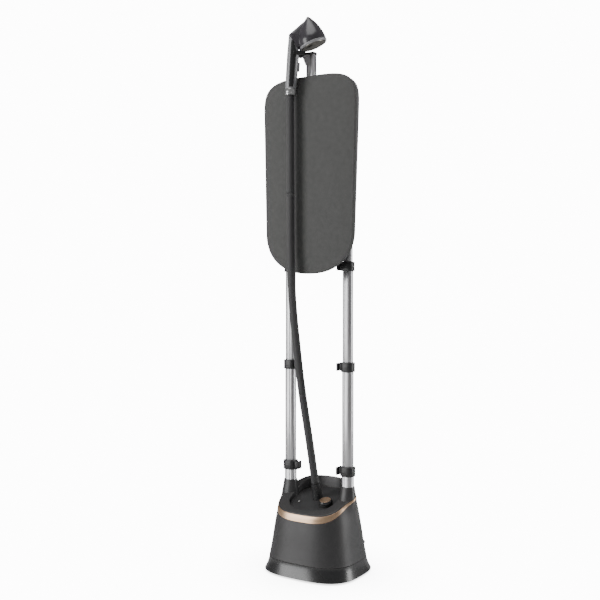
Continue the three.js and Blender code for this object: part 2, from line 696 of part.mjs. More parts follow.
for (const [side, tag] of [[-1, 'left'], [1, 'right']]) {
  for (let level = 0; level <= 4; level += 1) {
    add(level === 0 ? `pole_stub_${tag}` : `pole_${level}_${tag}`, poleTube(level, side), LOOK.silver);
  }
  for (let level = 1; level <= 4; level += 1) {
    add(`clamp_${level}_${tag}`, clampCollar(level, side), LOOK.black);
    add(`clamp_lever_${level}_${tag}`, clampLever(level, side), LOOK.black);
  }
}
add('bridge', bridge(), LOOK.black);
add('column', column(), LOOK.silver);
add('dock_arm', dockArm(), LOOK.grey);
add('board_tray', boardTray(), LOOK.satin);
add('board_cover', boardCover(), LOOK.cloth);

const handset = new THREE.Group();
handset.name = 'handset';
handset.applyMatrix4(HANDSET_TURN);
steamer.add(handset);
add('hose_collar', hoseCollar(), LOOK.silver, handset);
add('handle_shell', handleShell(), LOOK.grey, handset);
add('grip_inlay', gripInlay(), LOOK.black, handset);
add('trigger', trigger(), LOOK.black, handset);
add('head_shell', headShell(), LOOK.satin, handset);
add('plate_ring', plateRing(), LOOK.grey, handset);
add('steam_plate', steamPlate(), LOOK.steel, handset);
add('hose', hose(), LOOK.hose);

export default steamer;
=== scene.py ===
"""Stand garment steamer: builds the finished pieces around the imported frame, as an add-on run as a script."""

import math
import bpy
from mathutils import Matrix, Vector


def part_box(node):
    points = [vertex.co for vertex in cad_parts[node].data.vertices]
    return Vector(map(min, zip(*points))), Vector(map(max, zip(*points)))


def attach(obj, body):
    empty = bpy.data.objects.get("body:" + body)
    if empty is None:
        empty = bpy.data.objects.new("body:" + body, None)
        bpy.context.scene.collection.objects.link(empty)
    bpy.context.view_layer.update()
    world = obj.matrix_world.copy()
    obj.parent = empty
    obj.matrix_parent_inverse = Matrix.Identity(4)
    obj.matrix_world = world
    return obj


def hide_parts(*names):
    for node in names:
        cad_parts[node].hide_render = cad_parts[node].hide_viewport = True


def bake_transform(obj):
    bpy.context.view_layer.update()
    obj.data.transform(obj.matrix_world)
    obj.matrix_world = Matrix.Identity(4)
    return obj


bl_info = {
    "name": "Garment Steamer",
    "version": (1, 0, 0),
    "blender": (4, 5, 0),
    "location": "3D View > Sidebar > Steamer",
    "description": "Builds a stand garment steamer around its packed frame",
    "category": "Object",
}

import bmesh
import bpy
from mathutils import Matrix, Vector

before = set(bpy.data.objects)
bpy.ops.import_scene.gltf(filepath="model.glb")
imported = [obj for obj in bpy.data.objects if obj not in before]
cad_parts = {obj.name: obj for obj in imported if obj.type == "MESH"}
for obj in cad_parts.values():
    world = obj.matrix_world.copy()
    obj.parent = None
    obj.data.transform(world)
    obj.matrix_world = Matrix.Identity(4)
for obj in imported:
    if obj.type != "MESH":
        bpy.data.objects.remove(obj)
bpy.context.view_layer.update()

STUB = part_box("pole_stub_right")
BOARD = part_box("board_cover")
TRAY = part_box("board_tray")
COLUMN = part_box("column")
POLE_X = (STUB[0].x + STUB[1].x) / 2
MAST_Y = (STUB[0].y + STUB[1].y) / 2
SIDES = (("left", -1), ("right", 1))

# ---- form of the base, in metres: height, half width, half depth of its sections ----------------
SQUIRCLE = 3.1
BASE_COLUMNS = 208
SHELL_WALL, SKIRT_WALL = 0.003, 0.0045
SEAM_Z, SEAM_HALF_W, SEAM_HALF_D = 0.042, 0.130, 0.1105
SKIRT_DROP, SKIRT_FLARE, FLARE_POWER = 0.037, 0.012, 1.6
PILASTER_REACH, PILASTER_SPREAD = 0.121, 0.24
BASE_SECTIONS = [
    (0.005, 0.142, 0.1225),
    (0.014, 0.1385, 0.119),
    (0.026, 0.1335, 0.114),
    (SEAM_Z, SEAM_HALF_W, SEAM_HALF_D),
    (0.080, 0.1235, 0.104),
    (0.120, 0.118, 0.0985),
    (0.160, 0.1118, 0.0923),
    (0.200, 0.1045, 0.085),
    (0.270, 0.092, 0.073),
]
# sloping cuts, each as (height, the y of that height, slope)
RIM = (0.176, -0.088, 0.47)
BAND = (0.157, -0.088, 0.6)
DECK = (0.182, -0.070, 0.27)
# the deck's recess: half width, half depth, squareness
RECESS = (0.074, 0.071, 2.8)
RECESS_ROUND = 0.0025
SOCKET_TOP = 0.246

# ---- handset placing, as in the frame ------------------------------------------------------------
HANDSET = (
    Matrix.Translation((-0.0415, -0.080, 1.333))
    @ Matrix.Rotation(math.radians(35), 4, "Z")
    @ Matrix.Rotation(math.radians(4), 4, "Y")
)
PLATE = HANDSET @ Matrix.Translation((0.0525, 0, 0.148)) @ Matrix.Rotation(math.radians(-24.5), 4, "Y")

HOSE_R = 0.011
HOSE_ROUTE = [
    (-0.0389, -0.0781, 1.380),
    (-0.0414, -0.0799, 1.326),
    (-0.041, -0.080, 1.220),
    (-0.0405, -0.080, 1.060),
    (-0.0396, -0.0798, 0.900),
    (-0.0376, -0.078, 0.800),
    (-0.034, -0.073, 0.715),
    (-0.030, -0.065, 0.640),
    (-0.026, -0.056, 0.563),
    (-0.0205, -0.0465, 0.487),
    (-0.0135, -0.0365, 0.412),
    (-0.0085, -0.026, 0.345),
    (-0.005, -0.016, 0.285),
    (-0.003, -0.0096, 0.250),
]


class SteamerSizes(bpy.types.PropertyGroup):
    """Sizes a user would change."""

    rim_round: bpy.props.FloatProperty(
        name="Rim rounding", description="Radius of the base's upper rim", default=0.0035, unit="LENGTH"
    )
    board_crown: bpy.props.FloatProperty(
        name="Board crown", description="How far the padding stands out", default=0.0035, unit="LENGTH"
    )
    hose_bands: bpy.props.FloatProperty(
        name="Hose braid", description="Braid crossings per metre of hose", default=420.0
    )


class SteamerLooks(bpy.types.PropertyGroup):
    """Colours a user would change."""

    shell: bpy.props.FloatVectorProperty(
        name="Shell", description="Satin body plastic", subtype="COLOR", default=(0.040, 0.039, 0.040)
    )
    copper: bpy.props.FloatVectorProperty(
        name="Copper", description="Band and dial face", subtype="COLOR", default=(0.62, 0.42, 0.27)
    )
    cloth: bpy.props.FloatVectorProperty(
        name="Board cloth", description="Board cover", subtype="COLOR", default=(0.085, 0.085, 0.083)
    )
    metal: bpy.props.FloatVectorProperty(
        name="Pole metal", description="Anodised poles", subtype="COLOR", default=(0.56, 0.56, 0.57)
    )


# ---- mesh building ---------------------------------------------------------------------------------
EDGE_ANGLE, MOULD_ANGLE = math.radians(38), math.radians(60)


def claim(obj, body, replaces):
    """Puts an object on its body and in place of its nodes."""
    if body:
        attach(obj, body)
    if replaces:
        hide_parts(*replaces)
    return obj


def build(name, points, faces, material, body=None, replaces=()):
    """A smooth mesh object from points and faces, riding on its body and standing for its nodes."""
    mesh = bpy.data.meshes.new(name)
    mesh.from_pydata([tuple(p) for p in points], [], faces)
    mesh.validate()
    mesh.materials.append(material)
    obj = bpy.data.objects.new(name, mesh)
    bpy.context.scene.collection.objects.link(obj)
    for face in mesh.polygons:
        face.use_smooth = True
    recalculate(obj)
    mesh.set_sharp_from_angle(angle=EDGE_ANGLE)
    return claim(obj, body, replaces)


def recalculate(obj):
    """Merges doubled points and turns all faces outward."""
    work = bmesh.new()
    work.from_mesh(obj.data)
    bmesh.ops.remove_doubles(work, verts=work.verts, dist=1e-6)
    bmesh.ops.recalc_face_normals(work, faces=work.faces)
    work.to_mesh(obj.data)
    work.free()


def skin(rings, loop=False, start_cap=True, end_cap=True):
    """Points and faces over rings of equal count; a loop joins the last ring to the first."""
    count = len(rings[0])
    points = [p for ring in rings for p in ring]
    faces = []
    for i in range(len(rings) if loop else len(rings) - 1):
        low = i * count
        high = ((i + 1) % len(rings)) * count
        for j in range(count):
            k = (j + 1) % count
            faces.append((low + j, low + k, high + k, high + j))
    if not loop and start_cap:
        faces.append(tuple(reversed(range(count))))
    if not loop and end_cap:
        faces.append(tuple(range(len(points) - count, len(points))))
    return points, faces


def merge(*shapes):
    """Several (points, faces) as one."""
    points, faces = [], []
    for shape_points, shape_faces in shapes:
        base = len(points)
        points += list(shape_points)
        faces += [tuple(base + i for i in face) for face in shape_faces]
    return points, faces


def moved(shape, matrix):
    """A shape with its points put through a matrix."""
    return [matrix @ Vector(p) for p in shape[0]], shape[1]


def squircle(a, b, n, count, z=0.0, cx=0.0, cy=0.0):
    """A ring of half width a and half depth b; n is 2 for an ellipse and more for a squarer one."""
    ring = []
    for i in range(count):
        t = 2 * math.pi * i / count
        c, s = math.cos(t), math.sin(t)
        x = a * math.copysign(abs(c) ** (2 / n), c)
        y = b * math.copysign(abs(s) ** (2 / n), s)
        ring.append(Vector((cx + x, cy + y, z)))
    return ring


def stack(sections, n, count, cx=0.0, cy=0.0, loop=False):
    """A skin over squircle sections (z, half width, half depth)."""
    return skin([squircle(a, b, n, count, z, cx, cy) for z, a, b in sections], loop)


def rounded(sections, r=0.0008):
    """Sections of a straight-sided block with softened ends."""
    (z0, a0, b0), (z1, a1, b1) = sections[0], sections[-1]
    low = [(z0, a0 - r, b0 - r), (z0 + r * 0.3, a0 - r * 0.3, b0 - r * 0.3), (z0 + r, a0, b0)]
    high = [(z1 - r, a1, b1), (z1 - r * 0.3, a1 - r * 0.3, b1 - r * 0.3), (z1, a1 - r, b1 - r)]
    return low + list(sections[1:-1]) + high


def slab(x0, x1, y0, y1, z0, z1, r=0.0008):
    """A block with rounded edges."""
    a, b = (x1 - x0) / 2, (y1 - y0) / 2
    shape = stack(rounded([(z0, a, b), (z1, a, b)], r), 9, 48)
    return moved(shape, Matrix.Translation(((x0 + x1) / 2, (y0 + y1) / 2, 0)))


def turned(profile, count=48):
    """A turned piece about Z from (radius, height) pairs; a closed profile has no point on the axis."""
    on_axis = profile[0][0] == 0 or profile[-1][0] == 0
    rings = [squircle(max(r, 1e-5), max(r, 1e-5), 2, count, z) for r, z in profile]
    return skin(rings, loop=not on_axis)


def along(start, end):
    """Matrix that puts Z along the line from start to end."""
    start, end = Vector(start), Vector(end)
    turn = (end - start).normalized().to_track_quat("Z", "Y").to_matrix().to_4x4()
    return Matrix.Translation(start) @ turn


def lerp(a, b, t):
    return a + (b - a) * t


def smooth(x, low, high):
    """0 below low, 1 above high and an easy climb between."""
    t = min(1.0, max(0.0, (x - low) / (high - low)))
    return t * t * (3 - 2 * t)


def on_plane(plane, y, lift=0.0):
    """Height over y of a plane given as (height, y of that height, slope)."""
    z, y0, slope = plane
    return z + lift + slope * (y - y0)


# ---- base sections ---------------------------------------------------------------------------------
def section_at(z):
    """Half width and half depth at a height, on straight lines between the sections."""
    rows = BASE_SECTIONS
    k = 0
    while k < len(rows) - 2 and z > rows[k + 1][0]:
        k += 1
    z0, a0, b0 = rows[k]
    z1, a1, b1 = rows[k + 1]
    t = (z - z0) / (z1 - z0)
    return lerp(a0, a1, t), lerp(b0, b1, t)


def soft_section(z):
    """Half width and half depth, flared below the seam and averaged over a short height above it."""
    if z < SEAM_Z:
        flare = SKIRT_FLARE * ((SEAM_Z - z) / SKIRT_DROP) ** FLARE_POWER
        return SEAM_HALF_W + flare, SEAM_HALF_D + flare
    reach = 0.006
    pairs = [section_at(z + d) for d in (-reach, -reach / 2, 0, reach / 2, reach)]
    return sum(p[0] for p in pairs) / 5, sum(p[1] for p in pairs) / 5


def base_point(j, z, inset=0.0):
    """Point on column j of the base at a height, with the pole pilasters swelling out of the sides."""
    a, b = soft_section(z)
    t = 2 * math.pi * j / BASE_COLUMNS
    c, s = math.cos(t), math.sin(t)
    x = (a - inset) * math.copysign(abs(c) ** (2 / SQUIRCLE), c)
    y = (b - inset) * math.copysign(abs(s) ** (2 / SQUIRCLE), s)
    reach = PILASTER_REACH - 0.005 * smooth(z, 0.205, 0.250)
    swell = max(0.0, reach - a) * smooth(z, 0.090, 0.205)
    off = math.atan2(y - MAST_Y, abs(x)) / PILASTER_SPREAD
    x += math.copysign(swell * math.exp(-off * off), x)
    return Vector((x, y, z))


def climb(j, height_at, inset=0.0):
    """The point on column j where the base's side meets a sloping cut."""
    z = 0.2
    for _ in range(12):
        z = height_at(base_point(j, z, inset).y)
    return base_point(j, z, inset)


def base_ring(z, inset=0.0):
    """Points around the base at one height, or at a list of heights, one for each column."""
    heights = z if isinstance(z, list) else [z] * BASE_COLUMNS
    return [base_point(j, height, inset) for j, height in enumerate(heights)]


def cut_ring(height_at, inset=0.0):
    """Points around the base where a sloping cut meets its side."""
    return [climb(j, height_at, inset) for j in range(BASE_COLUMNS)]


def recess_ring(plane, lift, a, b, count=BASE_COLUMNS):
    """The deck recess's outline at given half sizes, laid on a sloping plane."""
    return [Vector((p.x, p.y, on_plane(plane, p.y, lift))) for p in squircle(a, b, RECESS[2], count)]


def seam_height(y, lift=0.0):
    """Height of the seam between body and collar: under the band in front, under the rim behind."""
    return min(on_plane(BAND, y, lift), on_plane(RIM, y, lift - 0.004))


# ---- node groups -----------------------------------------------------------------------------------
def group(name, inputs, outputs):
    """An empty shader group with float inputs {name: default} and typed outputs {name: type}."""
    tree = bpy.data.node_groups.new(name, "ShaderNodeTree")
    for label, default in inputs.items():
        socket = tree.interface.new_socket(label, in_out="INPUT", socket_type="NodeSocketFloat")
        socket.default_value = default
    for label, kind in outputs.items():
        tree.interface.new_socket(label, in_out="OUTPUT", socket_type=kind)
    return tree, tree.nodes.new("NodeGroupInput"), tree.nodes.new("NodeGroupOutput")


def node(tree, kind, values=None, links=None, **settings):
    """A node with its settings, input values and links, in one call."""
    made = tree.nodes.new(kind)
    for key, value in settings.items():
        setattr(made, key, value)
    for key, value in (values or {}).items():
        made.inputs[key].default_value = value
    for key, source in (links or {}).items():
        tree.links.new(source, made.inputs[key])
    return made


def position(tree):
    """The point being shaded, in the object's own space."""
    return node(tree, "ShaderNodeTexCoord").outputs["Object"]


def noise(tree, place, **values):
    """Noise over a place; the values are the texture's inputs."""
    return node(tree, "ShaderNodeTexNoise", values, {"Vector": place}).outputs["Fac"]


def maths(tree, operation, a, b=0.0, clamp=False):
    """One maths node over numbers or sockets."""
    made = node(tree, "ShaderNodeMath", operation=operation, use_clamp=clamp)
    for slot, value in ((0, a), (1, b)):
        if isinstance(value, (int, float)):
            made.inputs[slot].default_value = value
        else:
            tree.links.new(value, made.inputs[slot])
    return made.outputs[0]


def grain_group():
    """Fine moulded texture: a height for bump and a mask that varies the gloss."""
    names = {"Height": "NodeSocketFloat", "Mottle": "NodeSocketFloat"}
    tree, inp, out = group("Moulded Grain", {"Scale": 900.0}, names)
    place = position(tree)
    links = {"Vector": place, "Scale": inp.outputs["Scale"]}
    fine = node(tree, "ShaderNodeTexNoise", {"Detail": 3.0, "Roughness": 0.6}, links)
    tree.links.new(fine.outputs["Fac"], out.inputs["Height"])
    tree.links.new(noise(tree, place, Scale=14.0, Detail=4.0), out.inputs["Mottle"])
    return tree


def wear_group():
    """A mask of exposed edges, broken up so that it reads as handling."""
    tree, inp, out = group("Edge Wear", {"Amount": 1.0}, {"Mask": "NodeSocketFloat"})
    edge = node(tree, "ShaderNodeNewGeometry").outputs["Pointiness"]
    ramp = node(tree, "ShaderNodeMapRange", {"From Min": 0.515, "From Max": 0.60}, {"Value": edge})
    broken = noise(tree, position(tree), Scale=160.0, Detail=5.0)
    mask = maths(tree, "MULTIPLY", ramp.outputs["Result"], broken, clamp=True)
    tree.links.new(maths(tree, "MULTIPLY", mask, inp.outputs["Amount"], clamp=True), out.inputs["Mask"])
    return tree


def dust_group():
    """A mask of light dust that settles on faces that look up."""
    tree, inp, out = group("Dust", {"Amount": 0.3}, {"Mask": "NodeSocketFloat"})
    normal = node(tree, "ShaderNodeNewGeometry").outputs["Normal"]
    up = node(tree, "ShaderNodeSeparateXYZ", links={"Vector": normal}).outputs["Z"]
    facing = node(tree, "ShaderNodeMapRange", {"From Min": 0.5, "From Max": 1.0}, {"Value": up})
    specks = noise(tree, position(tree), Scale=240.0, Detail=6.0, Roughness=0.7)
    mask = maths(tree, "MULTIPLY", facing.outputs["Result"], specks)
    tree.links.new(maths(tree, "MULTIPLY", mask, inp.outputs["Amount"], clamp=True), out.inputs["Mask"])
    return tree


def weave_group():
    """Plain weave on a front face: threads over and under, with slubs."""
    names = {"Height": "NodeSocketFloat", "Thread": "NodeSocketFloat"}
    tree, inp, out = group("Weave", {"Threads per metre": 900.0, "Slub": 0.35}, names)
    place = position(tree)
    parts = node(tree, "ShaderNodeSeparateXYZ", links={"Vector": place})
    turn = maths(tree, "MULTIPLY", inp.outputs["Threads per metre"], math.pi)
    warp = maths(tree, "SINE", maths(tree, "MULTIPLY", parts.outputs["X"], turn))
    weft = maths(tree, "SINE", maths(tree, "MULTIPLY", parts.outputs["Z"], turn))
    cross = maths(tree, "MULTIPLY", warp, weft)
    height = maths(tree, "ADD", maths(tree, "MULTIPLY", cross, 0.5), 0.5)
    slub = noise(tree, place, Scale=75.0, Detail=4.0)
    mix = maths(tree, "MULTIPLY", slub, inp.outputs["Slub"])
    thread = maths(tree, "MULTIPLY", maths(tree, "ADD", height, slub), 0.5)
    tree.links.new(maths(tree, "ADD", height, mix), out.inputs["Height"])
    tree.links.new(thread, out.inputs["Thread"])
    return tree


def braid_group():
    """Two sets of threads wound round a hose, crossing each other."""
    names = {"Height": "NodeSocketFloat", "Thread": "NodeSocketFloat"}
    tree, inp, out = group("Braid", {"Crossings per metre": 420.0, "Strands": 14.0}, names)
    uv = node(tree, "ShaderNodeUVMap", uv_map="Hose").outputs["UV"]
    parts = node(tree, "ShaderNodeSeparateXYZ", links={"Vector": uv})
    turns = maths(tree, "MULTIPLY", parts.outputs["X"], inp.outputs["Strands"])
    rows = maths(tree, "MULTIPLY", parts.outputs["Y"], inp.outputs["Crossings per metre"])
    around = maths(tree, "MULTIPLY", turns, 2 * math.pi)
    length = maths(tree, "MULTIPLY", rows, math.pi)
    one = maths(tree, "SINE", maths(tree, "ADD", around, length))
    two = maths(tree, "SINE", maths(tree, "SUBTRACT", around, length))
    height = maths(tree, "ADD", maths(tree, "MULTIPLY", maths(tree, "MAXIMUM", one, two), 0.5), 0.5)
    tree.links.new(height, out.inputs["Height"])
    tree.links.new(maths(tree, "POWER", height, 1.5), out.inputs["Thread"])
    return tree


def brushed_group():
    """Drawing lines along a pole."""
    tree, inp, out = group("Drawn Metal", {"Fineness": 2600.0}, {"Line": "NodeSocketFloat"})
    across = inp.outputs["Fineness"]
    scale = node(tree, "ShaderNodeCombineXYZ", {"Z": 3.0}, {"X": across, "Y": across})
    links = {0: position(tree), 1: scale.outputs[0]}
    stretched = node(tree, "ShaderNodeVectorMath", links=links, operation="MULTIPLY")
    tree.links.new(noise(tree, stretched.outputs[0], Scale=1.0, Detail=2.0), out.inputs["Line"])
    return tree


GROUPS = {}
MATERIALS = {}
DUST_COLOUR = (0.42, 0.41, 0.39)


def use(tree, key, values):
    """Places a shared group in a material with its own values."""
    made = tree.nodes.new("ShaderNodeGroup")
    made.node_tree = GROUPS[key]
    for name, value in values.items():
        made.inputs[name].default_value = value
    return made.outputs


def mixed(tree, mask, low, high):
    """A colour between two, by a mask; each is a colour or a socket."""
    blend = node(tree, "ShaderNodeMix", links={0: mask}, data_type="RGBA")
    for slot, colour in ((6, low), (7, high)):
        if isinstance(colour, tuple):
            blend.inputs[slot].default_value = (*colour, 1)
        else:
            tree.links.new(colour, blend.inputs[slot])
    return blend.outputs[2]


def ranged(tree, value, low, high):
    """A value from 0 to 1 spread over a range."""
    made = node(tree, "ShaderNodeMapRange", {"To Min": low, "To Max": high}, {"Value": value})
    return made.outputs["Result"]


def scaled(colour, factor, add=0.0):
    """A colour made lighter or darker."""
    return tuple(min(1.0, c * factor + add) for c in colour)


def shader(name, **values):
    """A new material with its Principled shader's constants set on the shader itself."""
    material = bpy.data.materials.new(name)
    material.use_nodes = True
    tree = material.node_tree
    principled = tree.nodes["Principled BSDF"]
    for key, value in values.items():
        principled.inputs[key.replace("_", " ")].default_value = value
    return material, tree, principled


def bump(tree, principled, height, depth, strength=0.6):
    """Surface relief from a height."""
    made = node(tree, "ShaderNodeBump", {"Strength": strength, "Distance": depth}, {"Height": height})
    tree.links.new(made.outputs["Normal"], principled.inputs["Normal"])


def plastic(name, colour, rough, grain=900.0, depth=0.00004, coat=0.0, dust=0.12, lift=1.9):
    """Moulded plastic: grain, uneven gloss, pale handled edges and a little dust."""
    material, tree, principled = shader(name, Coat_Weight=coat, Coat_Roughness=0.2)
    grained = use(tree, "grain", {"Scale": grain})
    worn = mixed(tree, use(tree, "wear", {"Amount": 0.8})["Mask"], colour, scaled(colour, lift, 0.01))
    dusty = mixed(tree, use(tree, "dust", {"Amount": dust})["Mask"], worn, DUST_COLOUR)
    tree.links.new(dusty, principled.inputs["Base Color"])
    uneven = ranged(tree, grained["Mottle"], rough * 0.86, rough * 1.14)
    tree.links.new(uneven, principled.inputs["Roughness"])
    bump(tree, principled, grained["Height"], depth)
    return material


def metal(name, colour, rough, fineness=2600.0):
    """Drawn, anodised metal."""
    material, tree, principled = shader(name, Metallic=1.0, Anisotropic=0.4)
    line = use(tree, "drawn", {"Fineness": fineness})["Line"]
    tree.links.new(mixed(tree, line, scaled(colour, 0.8), colour), principled.inputs["Base Color"])
    tree.links.new(ranged(tree, line, rough * 0.8, rough * 1.25), principled.inputs["Roughness"])
    bump(tree, principled, line, 0.00002, 0.4)
    return material


def make_materials(sizes, looks):
    """Every finish of the steamer, once."""
    GROUPS.update(grain=grain_group(), wear=wear_group(), dust=dust_group())
    GROUPS.update(weave=weave_group(), braid=braid_group(), drawn=brushed_group())
    shell = tuple(looks.shell)
    MATERIALS.update(
        satin_plastic=plastic("Satin shell", shell, 0.42),
        rim_plastic=plastic("Rim satin", scaled(shell, 0.9), 0.38),
        head_plastic=plastic("Head shell", (0.042, 0.038, 0.045), 0.3, 1300.0, 0.00002, 0.3),
        gloss_plastic=plastic("Gloss skirt", (0.020, 0.020, 0.021), 0.27, 400.0, 0.000006, 0.35),
        # painted light: the tray is the shell plastic made 2.1 times lighter, a lit copy standing for the light
        # on its side; its back gets it too
        tray_plastic=plastic("Tray satin", scaled(shell, 2.1), 0.4),
        black_plastic=plastic("Black plastic", (0.016, 0.016, 0.017), 0.42, 700.0),
        deck_plastic=plastic("Deck plastic", (0.026, 0.026, 0.028), 0.36, 1100.0),
        grey_plastic=plastic("Grey plastic", (0.19, 0.19, 0.195), 0.32, 1400.0, 0.00002, 0.2),
        grip_grey=plastic("Handle grey", (0.27, 0.27, 0.28), 0.3, 1400.0, 0.00002, 0.25),
        hem_cloth=cloth_finish(scaled(looks.cloth, 0.35)),
        rubber=plastic("Rubber", (0.012, 0.012, 0.0125), 0.72, 500.0, 0.00008),
        lens_white=plastic("White lens", (0.86, 0.86, 0.83), 0.18, 400.0, 0.000005, 0.5, 0.0, 1.0),
        circuit_board=plastic("Board lacquer", (0.03, 0.11, 0.05), 0.3, 300.0, 0.00003, 0.4),
        tinted_plastic=plastic("Smoky tank", (0.03, 0.031, 0.034), 0.16, 500.0, 0.00001, 0.6),
        silver_aluminium=metal("Anodised pole", tuple(looks.metal), 0.34),
        steel=metal("Satin steel", (0.34, 0.325, 0.285), 0.3, 900.0),
        silver_trim=metal("Silver trim", (0.78, 0.78, 0.78), 0.2, 700.0),
        copper_trim=copper_finish(tuple(looks.copper)),
        board_cloth=cloth_finish(tuple(looks.cloth)),
        hose_sleeve=hose_finish(sizes.hose_bands),
    )


def copper_finish(colour):
    """Champagne-copper metallised trim with a fine satin."""
    material, tree, principled = shader("Copper trim", Metallic=0.85, Coat_Weight=0.25, Coat_Roughness=0.2)
    grained = use(tree, "grain", {"Scale": 1600.0})
    worn = mixed(tree, use(tree, "wear", {"Amount": 0.7})["Mask"], colour, scaled(colour, 1.25))
    tree.links.new(worn, principled.inputs["Base Color"])
    tree.links.new(ranged(tree, grained["Mottle"], 0.26, 0.36), principled.inputs["Roughness"])
    bump(tree, principled, grained["Height"], 0.00001, 0.4)
    return material


def cloth_finish(colour):
    """Woven board cover: crossing threads, slubs and a soft sheen."""
    material, tree, principled = shader("Board cloth", Roughness=0.9, Sheen_Weight=0.35, Sheen_Roughness=0.45)
    woven = use(tree, "weave", {"Threads per metre": 620.0})
    thread = mixed(tree, woven["Thread"], scaled(colour, 0.62), scaled(colour, 1.3))
    tree.links.new(thread, principled.inputs["Base Color"])
    bump(tree, principled, woven["Height"], 0.0005, 0.7)
    return material


def hose_finish(crossings):
    """Braided textile sleeve."""
    material, tree, principled = shader("Hose sleeve", Roughness=0.62, Sheen_Weight=0.3, Sheen_Roughness=0.4)
    braid = use(tree, "braid", {"Crossings per metre": crossings})
    thread = mixed(tree, braid["Thread"], (0.018, 0.018, 0.019), (0.062, 0.061, 0.063))
    tree.links.new(thread, principled.inputs["Base Color"])
    bump(tree, principled, braid["Height"], 0.0004, 0.7)
    return material


# ---- helpers that work on made objects -------------------------------------------------------------
def apply_modifiers(obj):
    """Turns the object's modifiers into mesh."""
    graph = bpy.context.evaluated_depsgraph_get()
    graph.update()
    mesh = bpy.data.meshes.new_from_object(obj.evaluated_get(graph))
    obj.modifiers.clear()
    old = obj.data
    obj.data = mesh
    bpy.data.meshes.remove(old)
    for face in mesh.polygons:
        face.use_smooth = True


def moulded(name, shapes, material, voxel, passes, body=None, replaces=()):
    """One skin round several overlapping shapes, with every edge softened as a mould leaves it."""
    points, faces = merge(*shapes)
    obj = build(name, points, faces, MATERIALS[material])
    remesh = obj.modifiers.new("Skin", "REMESH")
    remesh.mode = "VOXEL"
    remesh.voxel_size = voxel
    soften = obj.modifiers.new("Soften", "SMOOTH")
    soften.factor = 0.5
    soften.iterations = passes
    apply_modifiers(obj)
    obj.data.set_sharp_from_angle(angle=MOULD_ANGLE)
    return claim(obj, body, replaces)


def node_shape(name):
    """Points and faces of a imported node, to be skinned again."""
    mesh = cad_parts[name].data
    return [Vector(v.co) for v in mesh.vertices], [tuple(face.vertices) for face in mesh.polygons]


def piece(name, shape, material, body, replaces):
    """A finished piece from a shape, with the material found under its key."""
    return build(name, shape[0], shape[1], MATERIALS[material], body, replaces)


def cut_away(obj, shape):
    """Takes a closed shape out of an object."""
    tool = build("tool", shape[0], shape[1], obj.data.materials[0])
    modifier = obj.modifiers.new("Cut", "BOOLEAN")
    modifier.operation = "DIFFERENCE"
    modifier.solver = "EXACT"
    modifier.object = tool
    apply_modifiers(obj)
    bpy.data.objects.remove(tool)
    obj.data.set_sharp_from_angle(angle=EDGE_ANGLE)


# ---- hose ------------------------------------------------------------------------------------------
def centripetal(route, steps):
    """Points on a centripetal Catmull-Rom curve through the route."""
    pts = [Vector(p) for p in route]
    pts = [2 * pts[0] - pts[1]] + pts + [2 * pts[-1] - pts[-2]]
    out = []
    for i in range(1, len(pts) - 2):
        a, b, c, d = pts[i - 1:i + 3]
        knots = [0.0]
        for p, q in ((a, b), (b, c), (c, d)):
            knots.append(knots[-1] + (q - p).length ** 0.5)
        for k in range(steps):
            t = lerp(knots[1], knots[2], k / steps)
            ab = between(a, b, knots[0], knots[1], t)
            bc = between(b, c, knots[1], knots[2], t)
            cd = between(c, d, knots[2], knots[3], t)
            abc = between(ab, bc, knots[0], knots[2], t)
            bcd = between(bc, cd, knots[1], knots[3], t)
            out.append(between(abc, bcd, knots[1], knots[2], t))
    out.append(pts[-2])
    return out


def between(p, q, start, end, t):
    """The point between p at start and q at end."""
    return p.lerp(q, (t - start) / (end - start))


def hose_frames(path, around):
    """Rings of points round a path, turned as little as possible from one to the next."""
    side = Vector((1, 0, 0))
    rings = []
    for i, p in enumerate(path):
        ahead = (path[min(i + 1, len(path) - 1)] - path[max(i - 1, 0)]).normalized()
        side = (side - ahead * side.dot(ahead)).normalized()
        up = ahead.cross(side)
        ring = []
        for j in range(around):
            t = 2 * math.pi * j / around
            ring.append(p + HOSE_R * (math.cos(t) * side + math.sin(t) * up))
        rings.append(ring)
    return rings


def hose_length(name, path, rings, start):
    """One length of hose with a UV map that runs round and along it in metres."""
    around = len(rings[0])
    points, faces = skin(rings)
    mesh = bpy.data.meshes.new(name)
    mesh.from_pydata([tuple(p) for p in points], [], faces)
    mesh.materials.append(MATERIALS["hose_sleeve"])
    uv = mesh.uv_layers.new(name="Hose")
    run = [start]
    for p, q in zip(path, path[1:]):
        run.append(run[-1] + (q - p).length)
    for face in mesh.polygons:
        face.use_smooth = True
        if len(face.vertices) != 4:
            continue
        columns = [v % around for v in face.vertices]
        wraps = 0 in columns and around - 1 in columns
        for loop, v in zip(face.loop_indices, face.vertices):
            column = v % around
            u = around if wraps and column == 0 else column
            uv.data[loop].uv = (u / around, run[v // around])
    obj = bpy.data.objects.new(name, mesh)
    bpy.context.scene.collection.objects.link(obj)
    return obj, run[-1]


def make_hose(sizes):
    """The steam hose in four lengths, split at three heights along the mast."""
    path = list(reversed(centripetal(HOSE_ROUTE, 16)))
    rings = hose_frames(path, 32)
    seams = [0.50, 0.77, 1.05]
    marks = [0]
    for seam in seams:
        marks.append(next(i for i, p in enumerate(path) if p.z > seam))
    marks.append(len(path) - 1)
    run = 0.0
    for k in range(4):
        low, high = marks[k], marks[k + 1]
        part = path[low:high + 1]
        obj, run = hose_length(f"hose_{k + 1}", part, rings[low:high + 1], run)
        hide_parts("hose")
        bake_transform(obj)


